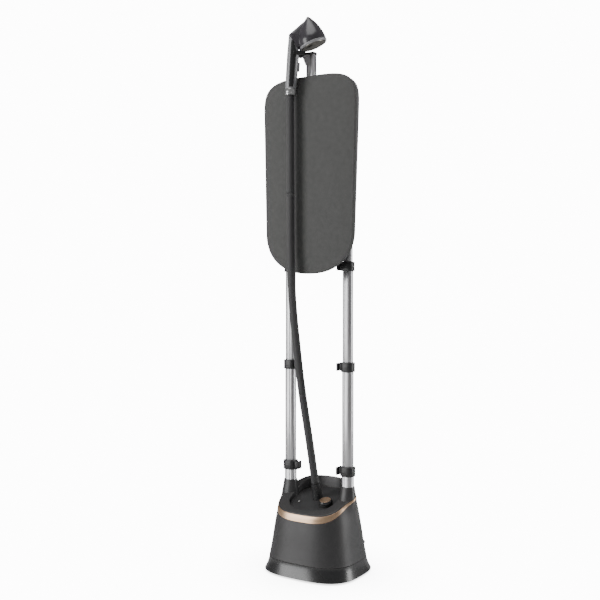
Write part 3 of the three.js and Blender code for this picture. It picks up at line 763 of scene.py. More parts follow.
# ---- base ------------------------------------------------------------------------------------------
def make_base(sizes):
    """Skirt, body shell, collar with its two pole sockets, and the metallised band."""
    outer = [0.0052, 0.0062, 0.0085, 0.012, 0.016, 0.020, 0.025, 0.030, 0.035, 0.0395, 0.0412, 0.0418]
    lip = {0.0052: 0.0008, 0.0418: 0.0007}
    rings = [base_ring(z, lip.get(z, 0.0)) for z in outer]
    rings += [base_ring(z, SKIRT_WALL) for z in reversed(outer)]
    piece("skirt", skin(rings, loop=True), "gloss_plastic", "base", ["skirt_ring"])

    foot, levels = 0.0423, 26
    tops = [p.z for p in cut_ring(seam_height)]
    rings = [base_ring(foot, 0.0007)]
    for i in range(levels + 1):
        rings.append(base_ring([lerp(foot + 0.0006, top - 0.0006, i / levels) for top in tops]))
    rings.append(base_ring(tops, 0.0006))
    for i in range(levels + 1):
        rings.append(base_ring([lerp(foot, top, 1 - i / levels) for top in tops], SHELL_WALL))
    shell = piece("body", skin(rings, loop=True), "satin_plastic", "base", ["body_shell"])
    cut_openings(shell)
    make_collar(sizes.rim_round)
    make_band()


def cut_openings(shell):
    """Window for the tank, notch over it for the cap, and the gland's hole."""
    tank, cap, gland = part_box("water_tank"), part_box("tank_cap"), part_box("mains_gland")
    gap, cap_gap, front, behind = 0.0005, 0.002, 0.04, 0.16
    window_top, notch_low = 0.141, 0.12
    x0, x1, z = tank[0].x - gap, tank[1].x + gap, tank[0].z
    cut_away(shell, slab(x0, x1, front, behind, z - gap, z + window_top, 0.004))
    x0, x1 = cap[0].x - cap_gap, cap[1].x + cap_gap
    cut_away(shell, slab(x0, x1, front, behind, z + notch_low, cap[1].z + cap_gap, 0.006))
    hole = turned([(0, 0), (0.0066, 0), (0.0066, 0.06), (0, 0.06)], 40)
    middle = (gland[0] + gland[1]) / 2
    cut_away(shell, moved(hole, along((middle.x, 0.08, middle.z), (middle.x, 0.14, middle.z))))


def make_collar(rim_round):
    """The collar's wall, rounded rim, sloping top and the walls of the deck's recess."""
    inset, wall_inset = 0.0012, 0.0044
    lows = [p.z for p in cut_ring(lambda y: seam_height(y, 0.0004), inset)]
    tops = [p.z for p in cut_ring(lambda y: on_plane(RIM, y, -rim_round), inset)]
    rings = [base_ring(lows, inset + 0.0005)]
    for t in (0.03, 0.35, 0.7, 1.0):
        rings.append(base_ring([lerp(low, top, t) for low, top in zip(lows, tops)], inset))
    for i in range(1, 6):
        turn = math.pi / 2 * i / 5
        drop = -rim_round * (1 - math.sin(turn))
        rings.append(cut_ring(lambda y: on_plane(RIM, y, drop), inset + rim_round * (1 - math.cos(turn))))
    a, b, _ = RECESS
    for i in range(5):
        turn = math.pi / 2 * i / 4
        grow = RECESS_ROUND * (1 - math.sin(turn))
        rings.append(recess_ring(RIM, -RECESS_ROUND * (1 - math.cos(turn)), a + grow, b + grow))
    for plane, lift, grow in ((DECK, 0.0, 0), (DECK, -0.006, 0), (DECK, -0.006, 0.003), (RIM, -0.005, 0.003)):
        rings.append(recess_ring(plane, lift, a + grow, b + grow))
    rings.append(cut_ring(lambda y: on_plane(RIM, y, -0.006), wall_inset))
    rings.append(base_ring(lows, wall_inset))
    shape = merge(skin(rings, loop=True), *(socket_shape(side) for _, side in SIDES))
    piece("collar", shape, "rim_plastic", "base", ["top_collar"])


def socket_shape(side):
    """A flared socket with a clear bore for the pole."""
    n = 96
    flare = [(0.190, 0.0245, 0.0245), (0.214, 0.024, 0.023), (0.224, 0.0226, 0.0208)]
    flare += [(0.232, 0.0214, 0.0186), (0.239, 0.0205, 0.0172), (0.2445, 0.0199, 0.0163)]
    flare += [(0.2457, 0.0195, 0.0159), (SOCKET_TOP, 0.0190, 0.0154)]
    rings = [squircle(a, b, 2.3, n, z, side * POLE_X, MAST_Y) for z, a, b in flare]
    rings += [pole_ring(0, side, z, 0.0006, n) for z in (SOCKET_TOP, flare[0][0])]
    return skin(rings, loop=True)


def make_band():
    """The metallised band round the front, tapering to nothing at the sides."""
    count, proud, under = 180, 0.0006, 0.0009
    front, half = 0.75, math.radians(200) / 2
    end_y, thinnest = 0.0135, 0.0008
    rings = []
    for i in range(count + 1):
        place = BASE_COLUMNS * (front + (half * (2 * i / count - 1)) / (2 * math.pi))
        low = climb(place, lambda y: on_plane(BAND, y, 0.0006), -proud)
        high = climb(place, lambda y: on_plane(RIM, y, -0.002), -proud)
        if low.y > end_y or high.z - low.z < thinnest:
            continue
        soft = min(0.0005, (high.z - low.z) / 4)
        profile = [(low.z, 0.0004), (low.z + soft, 0), ((low.z + high.z) / 2, -0.0001), (high.z - soft, 0)]
        profile += [(high.z, 0.0004), (high.z, under + proud), (low.z, under + proud)]
        rings.append([base_point(place, z, back - proud) for z, back in profile])
    piece("band", skin(rings), "copper_trim", "base", ["accent_band"])


# ---- deck ------------------------------------------------------------------------------------------
DECK_TILT = math.atan(DECK[2])


def on_deck(x, y):
    """Matrix that stands a piece square on the sloping deck."""
    return Matrix.Translation((x, y, on_plane(DECK, y))) @ Matrix.Rotation(DECK_TILT, 4, "X")


def make_deck(sizes):
    """Deck panel, lamp in its bezel, steam dial and the hose cuff."""
    gap = 0.0008
    a, b = RECESS[0] - gap, RECESS[1] - gap
    rows = [(1.0, -0.003), (1.0, -0.0007), (0.997, -0.0002), (0.992, 0.0)]
    rows += [(0.95, 0.0), (0.94, -0.0006), (0.93, -0.0006), (0.92, 0.0)]
    rows += [(f / 10, 0.0) for f in range(8, 0, -1)]
    rings = [recess_ring(DECK, lift, a * shrink, b * shrink, 160) for shrink, lift in rows]
    piece("deck", skin(rings), "deck_plastic", "base", ["deck_panel"])

    lamp = on_deck(-0.0445, -0.029)
    bezel = [(0.0031, 0.0006), (0.0034, 0.0011), (0.0044, 0.0012)]
    bezel += [(0.0051, 0.0006), (0.0052, -0.0002), (0.0031, -0.0008)]
    piece("lamp_bezel", moved(turned(bezel, 64), lamp), "gloss_plastic", "base", ["indicator_lens"])
    dome = [(0, -0.002), (0.0029, -0.002), (0.0029, 0.0004), (0.0025, 0.0009), (0.0015, 0.0013), (0, 0.0014)]
    piece("lamp_lens", moved(turned(dome, 64), lamp), "lens_white", "base", ["indicator_lens"])
    make_dial()

    foot, tip = Vector((0, -0.001, 0.203)), Vector((-0.003, -0.010, 0.253))
    length = (tip - foot).length
    profile = [(0.0143, -0.010), (0.0143, 0.0065)]
    ribs = 7
    for i in range(ribs):
        z = lerp(0.009, length - 0.008, i / ribs)
        step = (length - 0.017) / ribs
        r = lerp(0.0141, 0.0129, i / ribs)
        root = r - 0.0009
        profile += [(r, z), (r, z + step * 0.55), (root, z + step * 0.68), (root, z + step * 0.86)]
    profile += [(0.0128, length - 0.007), (0.0127, length - 0.001), (0.0122, length), (0.0114, length)]
    profile += [(0.0114, length - 0.012), (0.0085, length - 0.014), (0.0085, -0.010)]
    piece("cuff", moved(turned(profile, 72), along(foot, tip)), "black_plastic", "base", ["hose_cuff"])


def make_dial():
    """Fluted dial with a pointer cut into its metallised face."""
    place = on_deck(0.043, -0.027)
    flutes, count = 60, 480
    rows = [(0.0192, 0.0006, 0), (0.0195, 0.0012, 0), (0.0195, 0.0022, 1), (0.0195, 0.0086, 1)]
    rows += [(0.0194, 0.0100, 0), (0.0188, 0.0130, 0), (0.0181, 0.0150, 0), (0.0176, 0.0158, 0)]
    rows += [(0.0169, 0.0160, 0), (0.0164, 0.0157, 0)] + [(r, 0.0146, 0) for r in (0.0163, 0.0080, 0.0010)]
    rings = []
    for r, z, fluted in rows:
        ring = []
        for j in range(count):
            t = 2 * math.pi * j / count
            dip = fluted * 0.00035 * (0.5 - 0.5 * math.cos(flutes * t))
            ring.append(Vector(((r - dip) * math.cos(t), (r - dip) * math.sin(t), z)))
        rings.append(ring)
    shape = moved(skin(rings), place)
    piece("dial_knob", shape, "gloss_plastic", "dial", ["dial"])
    face = [(0, 0.0149), (0.0157, 0.0149), (0.0157, 0.0162), (0.0152, 0.0166), (0.0120, 0.0168), (0, 0.0169)]
    disc = piece("dial_face", moved(turned(face, 96), place), "copper_trim", "dial", ["dial_insert"])
    cut_away(disc, moved(slab(-0.0009, 0.0009, 0.006, 0.0140, 0.0161, 0.019, 0.0002), place))


# ---- tank ------------------------------------------------------------------------------------------
def rear_of_base(x, z):
    """How far back the base reaches at a place."""
    a, b = soft_section(z)
    return b * (1 - min(1.0, abs(x) / a) ** SQUIRCLE) ** (1 / SQUIRCLE)


def make_tank(sizes):
    """Water tank whose back is the back of the base, its cap and the mains gland."""
    low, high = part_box("water_tank")
    half, front, foot, neck_top = high.x, low.y, low.z, high.z
    top = neck_top - 0.005
    levels = [(foot, 0.002), (foot + 0.0006, 0.0008), (foot + 0.002, 0.0)]
    levels += [(lerp(foot + 0.002, top - 0.002, i / 14), 0.0) for i in range(1, 15)]
    levels += [(top - 0.0006, 0.0008), (top, 0.002)]
    rings, corner = [], 0.008
    for z, pull in levels:
        ring = []
        for i in range(65):
            x = lerp(-half + pull, half - pull, i / 64)
            ring.append(Vector((x, rear_of_base(x, z) - pull - 0.0002, z)))
        for cx, start in ((half - pull - corner, 0), (-half + pull + corner, -90)):
            for k in range(9):
                t = math.radians(start - 90 * k / 8)
                y = front + pull + corner + corner * math.sin(t)
                ring.append(Vector((cx + corner * math.cos(t), y, z)))
        rings.append(ring)
    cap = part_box("tank_cap")
    middle = (cap[0] + cap[1]) / 2
    neck = [(0, top - 0.004), (0.020, top - 0.004), (0.020, neck_top - 0.0006)]
    neck += [(0.0194, neck_top), (0, neck_top)]
    neck_shape = moved(turned(neck, 64), Matrix.Translation((middle.x, middle.y, 0)))
    tank = piece("tank", merge(skin(rings), neck_shape), "tinted_plastic", "water_tank", ["water_tank"])
    groove = slab(-0.03, 0.03, 0.10, 0.13, foot + 0.012, foot + 0.034, 0.005)
    cut_away(tank, moved(groove, Matrix.Translation((0, -0.012, 0))))

    crown = cap[1].z - 0.005
    flat = turned([(0, crown - 0.0045), (0.0225, crown - 0.0045), (0.0226, crown - 0.0003), (0, crown)], 96)
    wall = [(0.0204, cap[0].z), (0.0238, cap[0].z), (0.0240, cap[0].z + 0.0006)]
    wall += [(0.0232, crown - 0.0012), (0.0226, crown - 0.0006), (0.0204, crown - 0.0006)]
    grip = slab(-0.003, 0.003, -0.018, 0.018, crown - 0.0005, cap[1].z, 0.0012)
    shape = moved(merge(turned(wall, 96), flat, grip), Matrix.Translation((middle.x, middle.y, 0)))
    piece("cap", shape, "black_plastic", "tank_cap", ["tank_cap"])

    low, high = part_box("mains_gland")
    middle = (low + high) / 2
    profile = [(0.0036, 0), (0.0060, 0), (0.0058, 0.022), (0.0088, 0.0235), (0.0090, 0.0250)]
    profile += [(0.0086, 0.0275), (0.0056, 0.0285), (0.0053, high.y - 0.0810)]
    profile += [(0.0048, high.y - 0.0800), (0.0036, high.y - 0.0800)]
    axis = along((middle.x, 0.080, middle.z), (middle.x, 0.2, middle.z))
    piece("gland", moved(turned(profile, 64), axis), "rubber", "base", ["mains_gland"])


CARRIED = {
    "floor_pan": "black_plastic",
    "foot_front_left": "rubber",
    "foot_front_right": "rubber",
    "foot_rear_left": "rubber",
    "foot_rear_right": "rubber",
    "boiler": "steel",
    "pump": "black_plastic",
    "control_board": "circuit_board",
    "steam_riser": "rubber",
}


def finish_carried(sizes):
    """Finishes for the pieces that stay as they are in the frame: inside the base and under it."""
    for name, material in CARRIED.items():
        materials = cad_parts[name].data.materials
        materials.clear()
        materials.append(MATERIALS[material])


# ---- mast ------------------------------------------------------------------------------------------
POLE_W, POLE_D, POLE_WALL, POLE_STEP = 0.0344, 0.0264, 0.0009, 0.0024
GROOVE_X, GROOVE_DEPTH, GROOVE_WIDTH = 0.005, 0.0008, 0.0016
CLAMP_HALF = 0.013


def pole_ring(level, side, z, grow=0.0, count=96):
    """Outline of a pole section: a soft oval with a groove toward its inner side."""
    w = POLE_W - level * POLE_STEP + 2 * grow
    d = POLE_D - level * POLE_STEP + 2 * grow
    ring = []
    for p in squircle(w / 2, d / 2, 2.6, count, z):
        pinch = GROOVE_DEPTH * math.exp(-(((p.x + side * GROOVE_X) / GROOVE_WIDTH) ** 2))
        y = p.y - math.copysign(min(pinch, abs(p.y)), p.y)
        ring.append(Vector((side * POLE_X + p.x, MAST_Y + y, z)))
    return ring


def make_poles(sizes):
    """Two poles, each a stub and four sections that slide in each other."""
    for tag, side in SIDES:
        for level in range(5):
            name = f"pole_stub_{tag}" if level == 0 else f"pole_{level}_{tag}"
            low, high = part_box(name)
            rows = [(low.z, -0.0002), (low.z + 0.0004, 0.0), (lerp(low.z, high.z, 0.5), 0.0)]
            rows += [(high.z - 0.0004, 0.0), (high.z, -0.0003), (high.z, -POLE_WALL), (low.z, -POLE_WALL)]
            rings = [pole_ring(level, side, z, grow) for z, grow in rows]
            body = "base" if level == 0 else f"mast_{level}"
            piece(f"section_{level}_{tag}", skin(rings, loop=True), "silver_aluminium", body, [name])


def make_clamps(sizes):
    """A clamp and its swinging lever at the foot of each sliding section."""
    for tag, side in SIDES:
        for level in range(1, 5):
            low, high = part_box(f"clamp_{level}_{tag}")
            z = (low.z + high.z) / 2
            half_w = (POLE_W - (level - 1) * POLE_STEP) / 2 + 0.0034
            half_d = (POLE_D - (level - 1) * POLE_STEP) / 2 + 0.004
            x, n, r = side * POLE_X, 96, 0.0012
            rows = [(-CLAMP_HALF, r), (-CLAMP_HALF + 0.0004, 0.0004), (-CLAMP_HALF + r, 0), (-0.0045, 0)]
            rows += [(-0.0040, 0.0006), (-0.0032, 0.0006), (-0.0027, 0), (CLAMP_HALF - r, 0)]
            rows += [(CLAMP_HALF - 0.0004, 0.0004), (CLAMP_HALF, r)]
            rings = [squircle(half_w - back, half_d - back, 2.8, n, z + h, x, MAST_Y) for h, back in rows]
            rings += [pole_ring(level, side, z + h, 0.0003, n) for h in (CLAMP_HALF, 0.0)]
            rings += [pole_ring(level - 1, side, z + h, 0.0003, n) for h in (0.0, -CLAMP_HALF)]
            lug_in = x - side * (half_w - 0.003)
            lug_out = x - side * (half_w + 0.004)
            ends, reach = sorted((lug_in, lug_out)), 0.009
            lug = slab(*ends, MAST_Y - reach, MAST_Y + reach, z - reach, z + reach)
            body = "base" if level == 1 else f"mast_{level - 1}"
            shape = merge(skin(rings, loop=True), lug)
            piece(f"clamp_body_{level}_{tag}", shape, "black_plastic", body, [f"clamp_{level}_{tag}"])
            make_lever(level, tag)


def make_lever(level, tag):
    """Lever with a ribbed thumb rest and its pivot pin."""
    name = f"clamp_lever_{level}_{tag}"
    low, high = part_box(name)
    arm = slab(low.x, high.x, low.y, high.y, low.z, high.z, 0.0012)
    ribs = []
    proud, half, short = 0.0004, 0.0006, 0.003
    for k in range(4):
        y = low.y + 0.003 + k * 0.0028
        z0, z1 = low.z + short, high.z - short
        ribs.append(slab(low.x - proud, high.x + proud, y - half, y + half, z0, z1, 0.0003))
    pin = [(0, low.z - 0.0006), (0.0018, low.z - 0.0006), (0.0020, low.z - 0.0003), (0.0020, high.z + 0.0003)]
    pin += [(0.0018, high.z + 0.0006), (0, high.z + 0.0006)]
    x = (low.x + high.x) / 2
    shape = merge(arm, *ribs, moved(turned(pin, 32), Matrix.Translation((x, high.y - 0.003, 0))))
    piece(f"lever_{level}_{tag}", shape, "black_plastic", name, [name])


def make_bridge(sizes):
    """Bridge between the poles, the slotted column on it and the dock at its top."""
    low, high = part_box("bridge")
    bar = slab(-POLE_X, POLE_X, MAST_Y - 0.011, MAST_Y + 0.011, low.z, high.z, 0.0015)
    ends = []
    for _, side in SIDES:
        rows = rounded([(low.z, 0.018, 0.014), (high.z, 0.018, 0.014)], 0.0016)
        ends.append(stack(rows, 2.6, 96, side * POLE_X, MAST_Y))
    hub = slab(-0.017, 0.017, COLUMN[1].y + 0.0003, MAST_Y - 0.009, low.z, high.z, 0.0015)
    piece("bridge_bar", merge(bar, hub, *ends), "black_plastic", "mast_4", ["bridge"])

    low, high = COLUMN
    a, b = (high.x - low.x) / 2, (high.y - low.y) / 2
    cx, cy, n = (low.x + high.x) / 2, (low.y + high.y) / 2, 240
    rings = []
    for z, back in [(low.z, 0.0003), (low.z + 0.0004, 0), (high.z - 0.0004, 0), (high.z, 0.0003)]:
        ring = []
        for p in squircle(a - back, b - back, 5, n, z):
            if p.y < 0 and abs(p.x) < 0.003:
                p.y = -(b - 0.0016)
            ring.append(p + Vector((cx, cy, 0)))
        rings.append(ring)
    piece("post", skin(rings), "silver_aluminium", "mast_4", ["column"])
    make_dock()


def plank(outline, thick, r=0.0006):
    """A flat piece in the XZ plane with softened faces, from its outline."""
    middle = sum((Vector((x, 0, z)) for x, z in outline), Vector()) / len(outline)
    rings = []
    for y, back in [(-thick / 2, r), (-thick / 2 + r, 0), (thick / 2 - r, 0), (thick / 2, r)]:
        ring = []
        for x, z in outline:
            p = Vector((x, 0, z))
            ring.append(p + (middle - p).normalized() * back + Vector((0, y, 0)))
        rings.append(ring)
    return skin(rings)


def make_dock():
    """Fork that holds the handle, the web that carries it and the cap on the column."""
    low, high = COLUMN
    top = high.z
    axis = HANDSET @ Vector((0, 0, 0.112))
    centre = Vector(((low.x + high.x) / 2, (low.y + high.y) / 2, 0))
    out = Vector((axis.x, axis.y, 0)) - centre
    reach = out.length
    place = Matrix.Translation(centre) @ Matrix.Rotation(math.atan2(out.y, out.x), 4, "Z")
    arm = node_shape("dock_arm")
    fork = moulded("dock_fork", [arm], "black_plastic", 0.0007, 4, "mast_4", ["dock_arm"])
    clear = reach - 0.031
    cut_away(fork, moved(slab(-0.05, clear, -0.05, 0.05, top - 0.06, top + 0.02, 0.0001), place))
    cut_away(fork, moved(slab(-0.05, reach + 0.02, -0.05, 0.05, top - 0.06, top - 0.0085, 0.0001), place))
    web = [(0.009, top - 0.034), (0.016, top - 0.031), (clear + 0.003, top - 0.009)]
    web += [(clear + 0.003, top + 0.0005), (0.016, top - 0.003), (0.009, top - 0.003)]
    piece("dock_web", moved(plank(web, 0.010), place), "grip_grey", "mast_4", ["dock_arm"])
    a, b = (high.x - low.x) / 2, (high.y - low.y) / 2
    rows = [(top - 0.004, a + 0.0012, b + 0.0012), (top + 0.0035, a + 0.0012, b + 0.0012)]
    cap = stack(rounded(rows, 0.0008), 5, 120, centre.x, centre.y)
    piece("post_cap", cap, "black_plastic", "mast_4", ["dock_arm"])


# ---- board -----------------------------------------------------------------------------------------
BOARD_BOTTOM, BOARD_TOP = BOARD[0].z, BOARD[1].z
BOARD_FACE, BOARD_BACK = BOARD[0].y, BOARD[1].y
HALF_TOP, HALF_LOW = 0.150, 0.143
TOP_R, TOP_N, LOW_R, LOW_N = 0.099, 3.7, 0.122, 2.3


def board_ring(inset, y_at, pull=1.0, count=96):
    """Board outline; pull draws it in to the board's middle line."""
    ring = []
    for half in (0, 1):
        for i in range(count):
            t = math.pi * (half + i / count)
            c, s = math.cos(t), abs(math.sin(t))
            if half == 0:
                x = (HALF_TOP - inset) * math.copysign(abs(c) ** (2 / TOP_N), c)
                z = BOARD_TOP - TOP_R + (TOP_R - inset) * s ** (2 / TOP_N)
            else:
                x = (HALF_LOW - inset) * math.copysign(abs(c) ** (2 / LOW_N), c)
                z = BOARD_BOTTOM + LOW_R - (LOW_R - inset) * s ** (2 / LOW_N)
            middle = min(max(z, BOARD_BOTTOM + LOW_R), BOARD_TOP - TOP_R)
            ring.append(Vector((x * pull, y_at(z), lerp(middle, z, pull))))
    return ring


def make_board(sizes):
    """Padded cloth cover with a rolled edge and a hem bead, on its moulded tray."""
    crown = sizes.board_crown
    rows = [(0.004, BOARD_BACK - 0.0004), (0.0012, BOARD_BACK - 0.0002)]
    rows += [(0, BOARD_BACK - 0.0015), (0, BOARD_FACE + 0.0030)]
    rings = [board_ring(inset, lambda z: y) for inset, y in rows]
    for k in range(1, 7):
        turn = math.pi / 2 * k / 6
        inset = 0.0045 * (1 - math.cos(turn))
        y = BOARD_FACE + 0.0030 - 0.0030 * math.sin(turn)
        rings.append(board_ring(inset, lambda z: y))
    for k in range(1, 15):
        t = k / 14
        y = BOARD_FACE - crown * (1 - (1 - t) ** 2.6)
        rings.append(board_ring(0.0045, lambda z: y, 1 - t))
    cover = piece("cover", skin(rings, end_cap=False), "board_cloth", "mast_4", ["board_cover"])
    hem = []
    bead = 0.0011
    for k in range(10):
        turn = 2 * math.pi * k / 10
        y = BOARD_BACK - 0.0004 + bead * math.sin(turn)
        hem.append(board_ring(0.0004 + bead * math.cos(turn), lambda z: y))
    piece("cover_hem", skin(hem, loop=True), "hem_cloth", "mast_4", ["board_cover"])

    back_low, back_top = -0.037, -0.023
    back = lambda z: lerp(back_low, back_top, (z - BOARD_BOTTOM) / (BOARD_TOP - BOARD_BOTTOM))
    rings = [board_ring(0.0015, lambda z: TRAY[0].y)]
    rings.append(board_ring(0.0015, lambda z: back(z) - 0.004))
    for k in range(1, 6):
        turn = math.pi / 2 * k / 5
        inset = 0.0015 + 0.0065 * (1 - math.cos(turn))
        rings.append(board_ring(inset, lambda z: back(z) - 0.004 * (1 - math.sin(turn))))
    for pull, rise in ((0.88, 0), (0.86, -0.0012), (0.82, -0.0012), (0.80, 0), (0.5, 0), (0.2, 0), (0.0, 0)):
        rings.append(board_ring(0.008, lambda z: back(z) + rise, pull))
    shape = skin(rings, end_cap=False)
    # the tray wears the shell plastic painted lighter, a lit copy of it
    tray = piece("tray", shape, "tray_plastic", "mast_4", ["board_tray"])
    cut_away(tray, slab(-0.018, 0.018, -0.10, 0.02, COLUMN[0].z - 0.006, 1.5, 0.003))


# ---- handset ---------------------------------------------------------------------------------------
def make_handset(sizes):
    """Handle, its grip inlay, the metallised collar over the hose, and the trigger."""
    shell = node_shape("handle_shell")
    moulded("handle", [shell], "grip_grey", 0.0008, 6, "handset", ["handle_shell"])
    moulded("inlay", [node_shape("grip_inlay")], "black_plastic", 0.0006, 4, "handset", ["grip_inlay"])
    inside = HOSE_R + 0.0006
    profile = [(inside, 0.0), (0.0148, 0.0), (0.0156, 0.0006), (0.0160, 0.0040)]
    profile += [(0.0157, 0.0046), (0.0157, 0.0054), (0.0163, 0.0060), (0.0163, 0.0158)]
    profile += [(0.0159, 0.0167), (0.0150, 0.0170), (inside, 0.0170)]
    piece("collar_ring", moved(turned(profile, 96), HANDSET), "silver_trim", "handset", ["hose_collar"])
    rows = rounded([(0.068, 0.004, 0.0056), (0.092, 0.004, 0.0056)], 0.0018)
    button = moved(stack(rows, 4, 64), Matrix.Translation((0.017, 0, 0)))
    piece("trigger_button", moved(button, HANDSET), "grip_grey", "trigger", ["trigger"])


HEAD_SECTIONS = [
    (0.000, 0.000, 0.040, 0.046),
    (0.014, 0.000, 0.0395, 0.045),
    (0.031, 0.002, 0.034, 0.037),
    (0.049, 0.006, 0.024, 0.025),
    (0.066, 0.010, 0.011, 0.012),
    (0.075, 0.012, 0.003, 0.003),
]


def head_ring(n, count=96):
    """Section of the head at a height over the plate, on a smooth curve through its sections."""
    rows = HEAD_SECTIONS
    k = max(i for i in range(len(rows) - 1) if rows[i][0] <= n or i == 0)
    before, after = rows[max(k - 1, 0)], rows[min(k + 2, len(rows) - 1)]
    a, b = rows[k], rows[k + 1]
    t = (n - a[0]) / (b[0] - a[0])
    values = []
    for column in range(1, 4):
        start = (b[column] - before[column]) / max(b[0] - before[0], 1e-6) * (b[0] - a[0])
        end = (after[column] - a[column]) / max(after[0] - a[0], 1e-6) * (b[0] - a[0])
        h1, h2 = 2 * t ** 3 - 3 * t ** 2 + 1, t ** 3 - 2 * t ** 2 + t
        values.append(h1 * a[column] + h2 * start + (1 - h1) * b[column] + (t ** 3 - t ** 2) * end)
    shift, half_a, half_b = values
    return squircle(half_a, half_b, 2, count, n, shift)


def hull(points):
    """Convex skin round points."""
    work = bmesh.new()
    for p in points:
        work.verts.new(p)
    bmesh.ops.convex_hull(work, input=work.verts)
    loose = [v for v in work.verts if not v.link_faces]
    bmesh.ops.delete(work, geom=loose, context="VERTS")
    work.verts.index_update()
    shape = [v.co.copy() for v in work.verts], [tuple(v.index for v in f.verts) for f in work.faces]
    work.free()
    return shape


def make_head(sizes):
    """Steam head with the rim round its plate and the drilled steam plate."""
    bell = moved(skin([head_ring(n / 1000) for n in [0, 1, 4, 8, *range(12, 75, 3), 74.9]]), PLATE)
    cap = [PLATE @ p for p in squircle(0.011, 0.012, 2, 48, 0.066, 0.010)]
    cheek = [PLATE @ p for p in squircle(0.014, 0.022, 2, 48, 0.008, -0.024)]
    root = []
    for z, a, b in ((0.128, 0.0164, 0.0152), (0.168, 0.016, 0.015)):
        root += [HANDSET @ p for p in squircle(a, b, 2, 48, z)]
    neck = hull(cap + cheek + root)
    shapes = [bell, neck]
    head = moulded("head", shapes, "head_plastic", 0.0011, 5, "handset", ["head_shell"])
    slant = Matrix.Translation((0.0005, 0, 0.1443)) @ Matrix.Rotation(math.atan2(0.044, 0.033), 4, "Y")
    cut_away(head, moved(slab(-0.12, 0.12, -0.08, 0.08, -0.2, 0, 0.0001), HANDSET @ slant))
    cut_away(head, moved(slab(-0.06, 0.06, -0.07, 0.07, -0.08, 0.0, 0.0001), PLATE))

    n = 144
    rows = [(-0.0003, 0.0400), (-0.0010, 0.0404), (-0.0022, 0.0403), (-0.0042, 0.0394), (-0.0056, 0.0384)]
    rows += [(-0.0060, 0.0374), (-0.0060, 0.0350), (-0.0054, 0.0342), (-0.0040, 0.0340), (-0.0003, 0.0340)]
    rings = [squircle(a, a + 0.006, 2, n, z) for z, a in rows]
    rim = moved(skin(rings, loop=True), PLATE)
    piece("plate_rim", rim, "grip_grey", "handset", ["plate_ring"])

    rows = [(-0.0025, 0.0335), (-0.0062, 0.0335), (-0.0068, 0.0331), (-0.0070, 0.0322), (-0.0070, 0.0290)]
    rows += [(-0.0064, 0.0280), (-0.0064, 0.0170), (-0.0070, 0.0160), (-0.0070, 0.0020)]
    rings = [squircle(a, a + 0.006, 2, n, z) for z, a in rows]
    plate = piece("sole_plate", moved(skin(rings), PLATE), "steel", "handset", ["steam_plate"])
    holes = []
    for i in range(12):
        t = 2 * math.pi * (i + 0.5) / 12
        drill = turned([(0, -0.009), (0.0016, -0.009), (0.0016, -0.0045), (0, -0.0045)], 24)
        holes.append(moved(drill, PLATE @ Matrix.Translation((0.023 * math.cos(t), 0.028 * math.sin(t), 0))))
    cut_away(plate, merge(*holes))


# ---- stage -----------------------------------------------------------------------------------------
CAMERA_AT = Vector((1.273, -2.081, 0.796))
CAMERA_TURN = (math.radians(90 - 0.724), 0, math.radians(32.654))
CAMERA_LENS, SENSOR = 51.6, 36
GLOW, FILL = 13.0, 0.22
LIGHTS = (
    ("Light_left", (-1.9, -0.8, 1.0), 0.75, (0.9, 2.1), 38),
    ("Light_right", (1.8, -0.1, 0.9), 0.7, (0.5, 1.8), 24),
    ("Light_top", (-0.3, -0.5, 2.9), 0.8, (1.4, 1.4), 18),
)


def soft_light(name, place, target, width, height, watts):
    """A large soft light turned to its target."""
    light = bpy.data.lights.new(name, "AREA")
    light.shape = "RECTANGLE"
    light.size = width
    light.size_y = height
    light.energy = watts
    obj = bpy.data.objects.new(name, light)
    obj.location = place
    obj.rotation_euler = (Vector(target) - Vector(place)).to_track_quat("-Z", "Y").to_euler()
    bpy.context.scene.collection.objects.link(obj)


def make_camera():
    """The camera, at the object's front right."""
    camera = bpy.data.cameras.new("Camera")
    camera.lens = CAMERA_LENS
    camera.sensor_width = SENSOR
    obj = bpy.data.objects.new("Camera", camera)
    obj.location = CAMERA_AT
    obj.rotation_euler = CAMERA_TURN
    bpy.context.scene.collection.objects.link(obj)
    bpy.context.scene.camera = obj


def make_world():
    """White surroundings: bright where seen directly, gentler as light."""
    world = bpy.data.worlds.new("Surroundings")
    world.use_nodes = True
    tree = world.node_tree
    back = tree.nodes["Background"]
    back.inputs["Color"].default_value = (1, 1, 1, 1)
    seen = tree.nodes.new("ShaderNodeLightPath").outputs["Is Camera Ray"]
    tree.links.new(ranged(tree, seen, FILL, GLOW), back.inputs["Strength"])
    bpy.context.scene.world = world


def floor_material():
    """Pale floor that reads as white by glowing to the camera, with a painted soft shadow where the object
    stands: ambient occlusion dims the glow.
    """
    material, tree, principled = shader("Floor", Roughness=0.6, Specular_IOR_Level=0.1)
    speck = noise(tree, position(tree), Scale=9.0, Detail=3.0)
    pale = mixed(tree, speck, (0.80, 0.80, 0.80), (0.84, 0.84, 0.84))
    tree.links.new(pale, principled.inputs["Base Color"])
    # painted shadow: the glow seen by the camera is dimmed by ambient occlusion near the object
    open_sky = node(tree, "ShaderNodeAmbientOcclusion", {"Distance": 0.22}, samples=16)
    strength = ranged(tree, open_sky.outputs["AO"], GLOW * 0.12, GLOW)
    white = node(tree, "ShaderNodeEmission", links={"Strength": strength})
    seen = tree.nodes.new("ShaderNodeLightPath").outputs["Is Camera Ray"]
    links = {0: seen, 1: principled.outputs[0], 2: white.outputs[0]}
    blend = node(tree, "ShaderNodeMixShader", links=links)
    tree.links.new(blend.outputs[0], tree.nodes["Material Output"].inputs["Surface"])
    return material


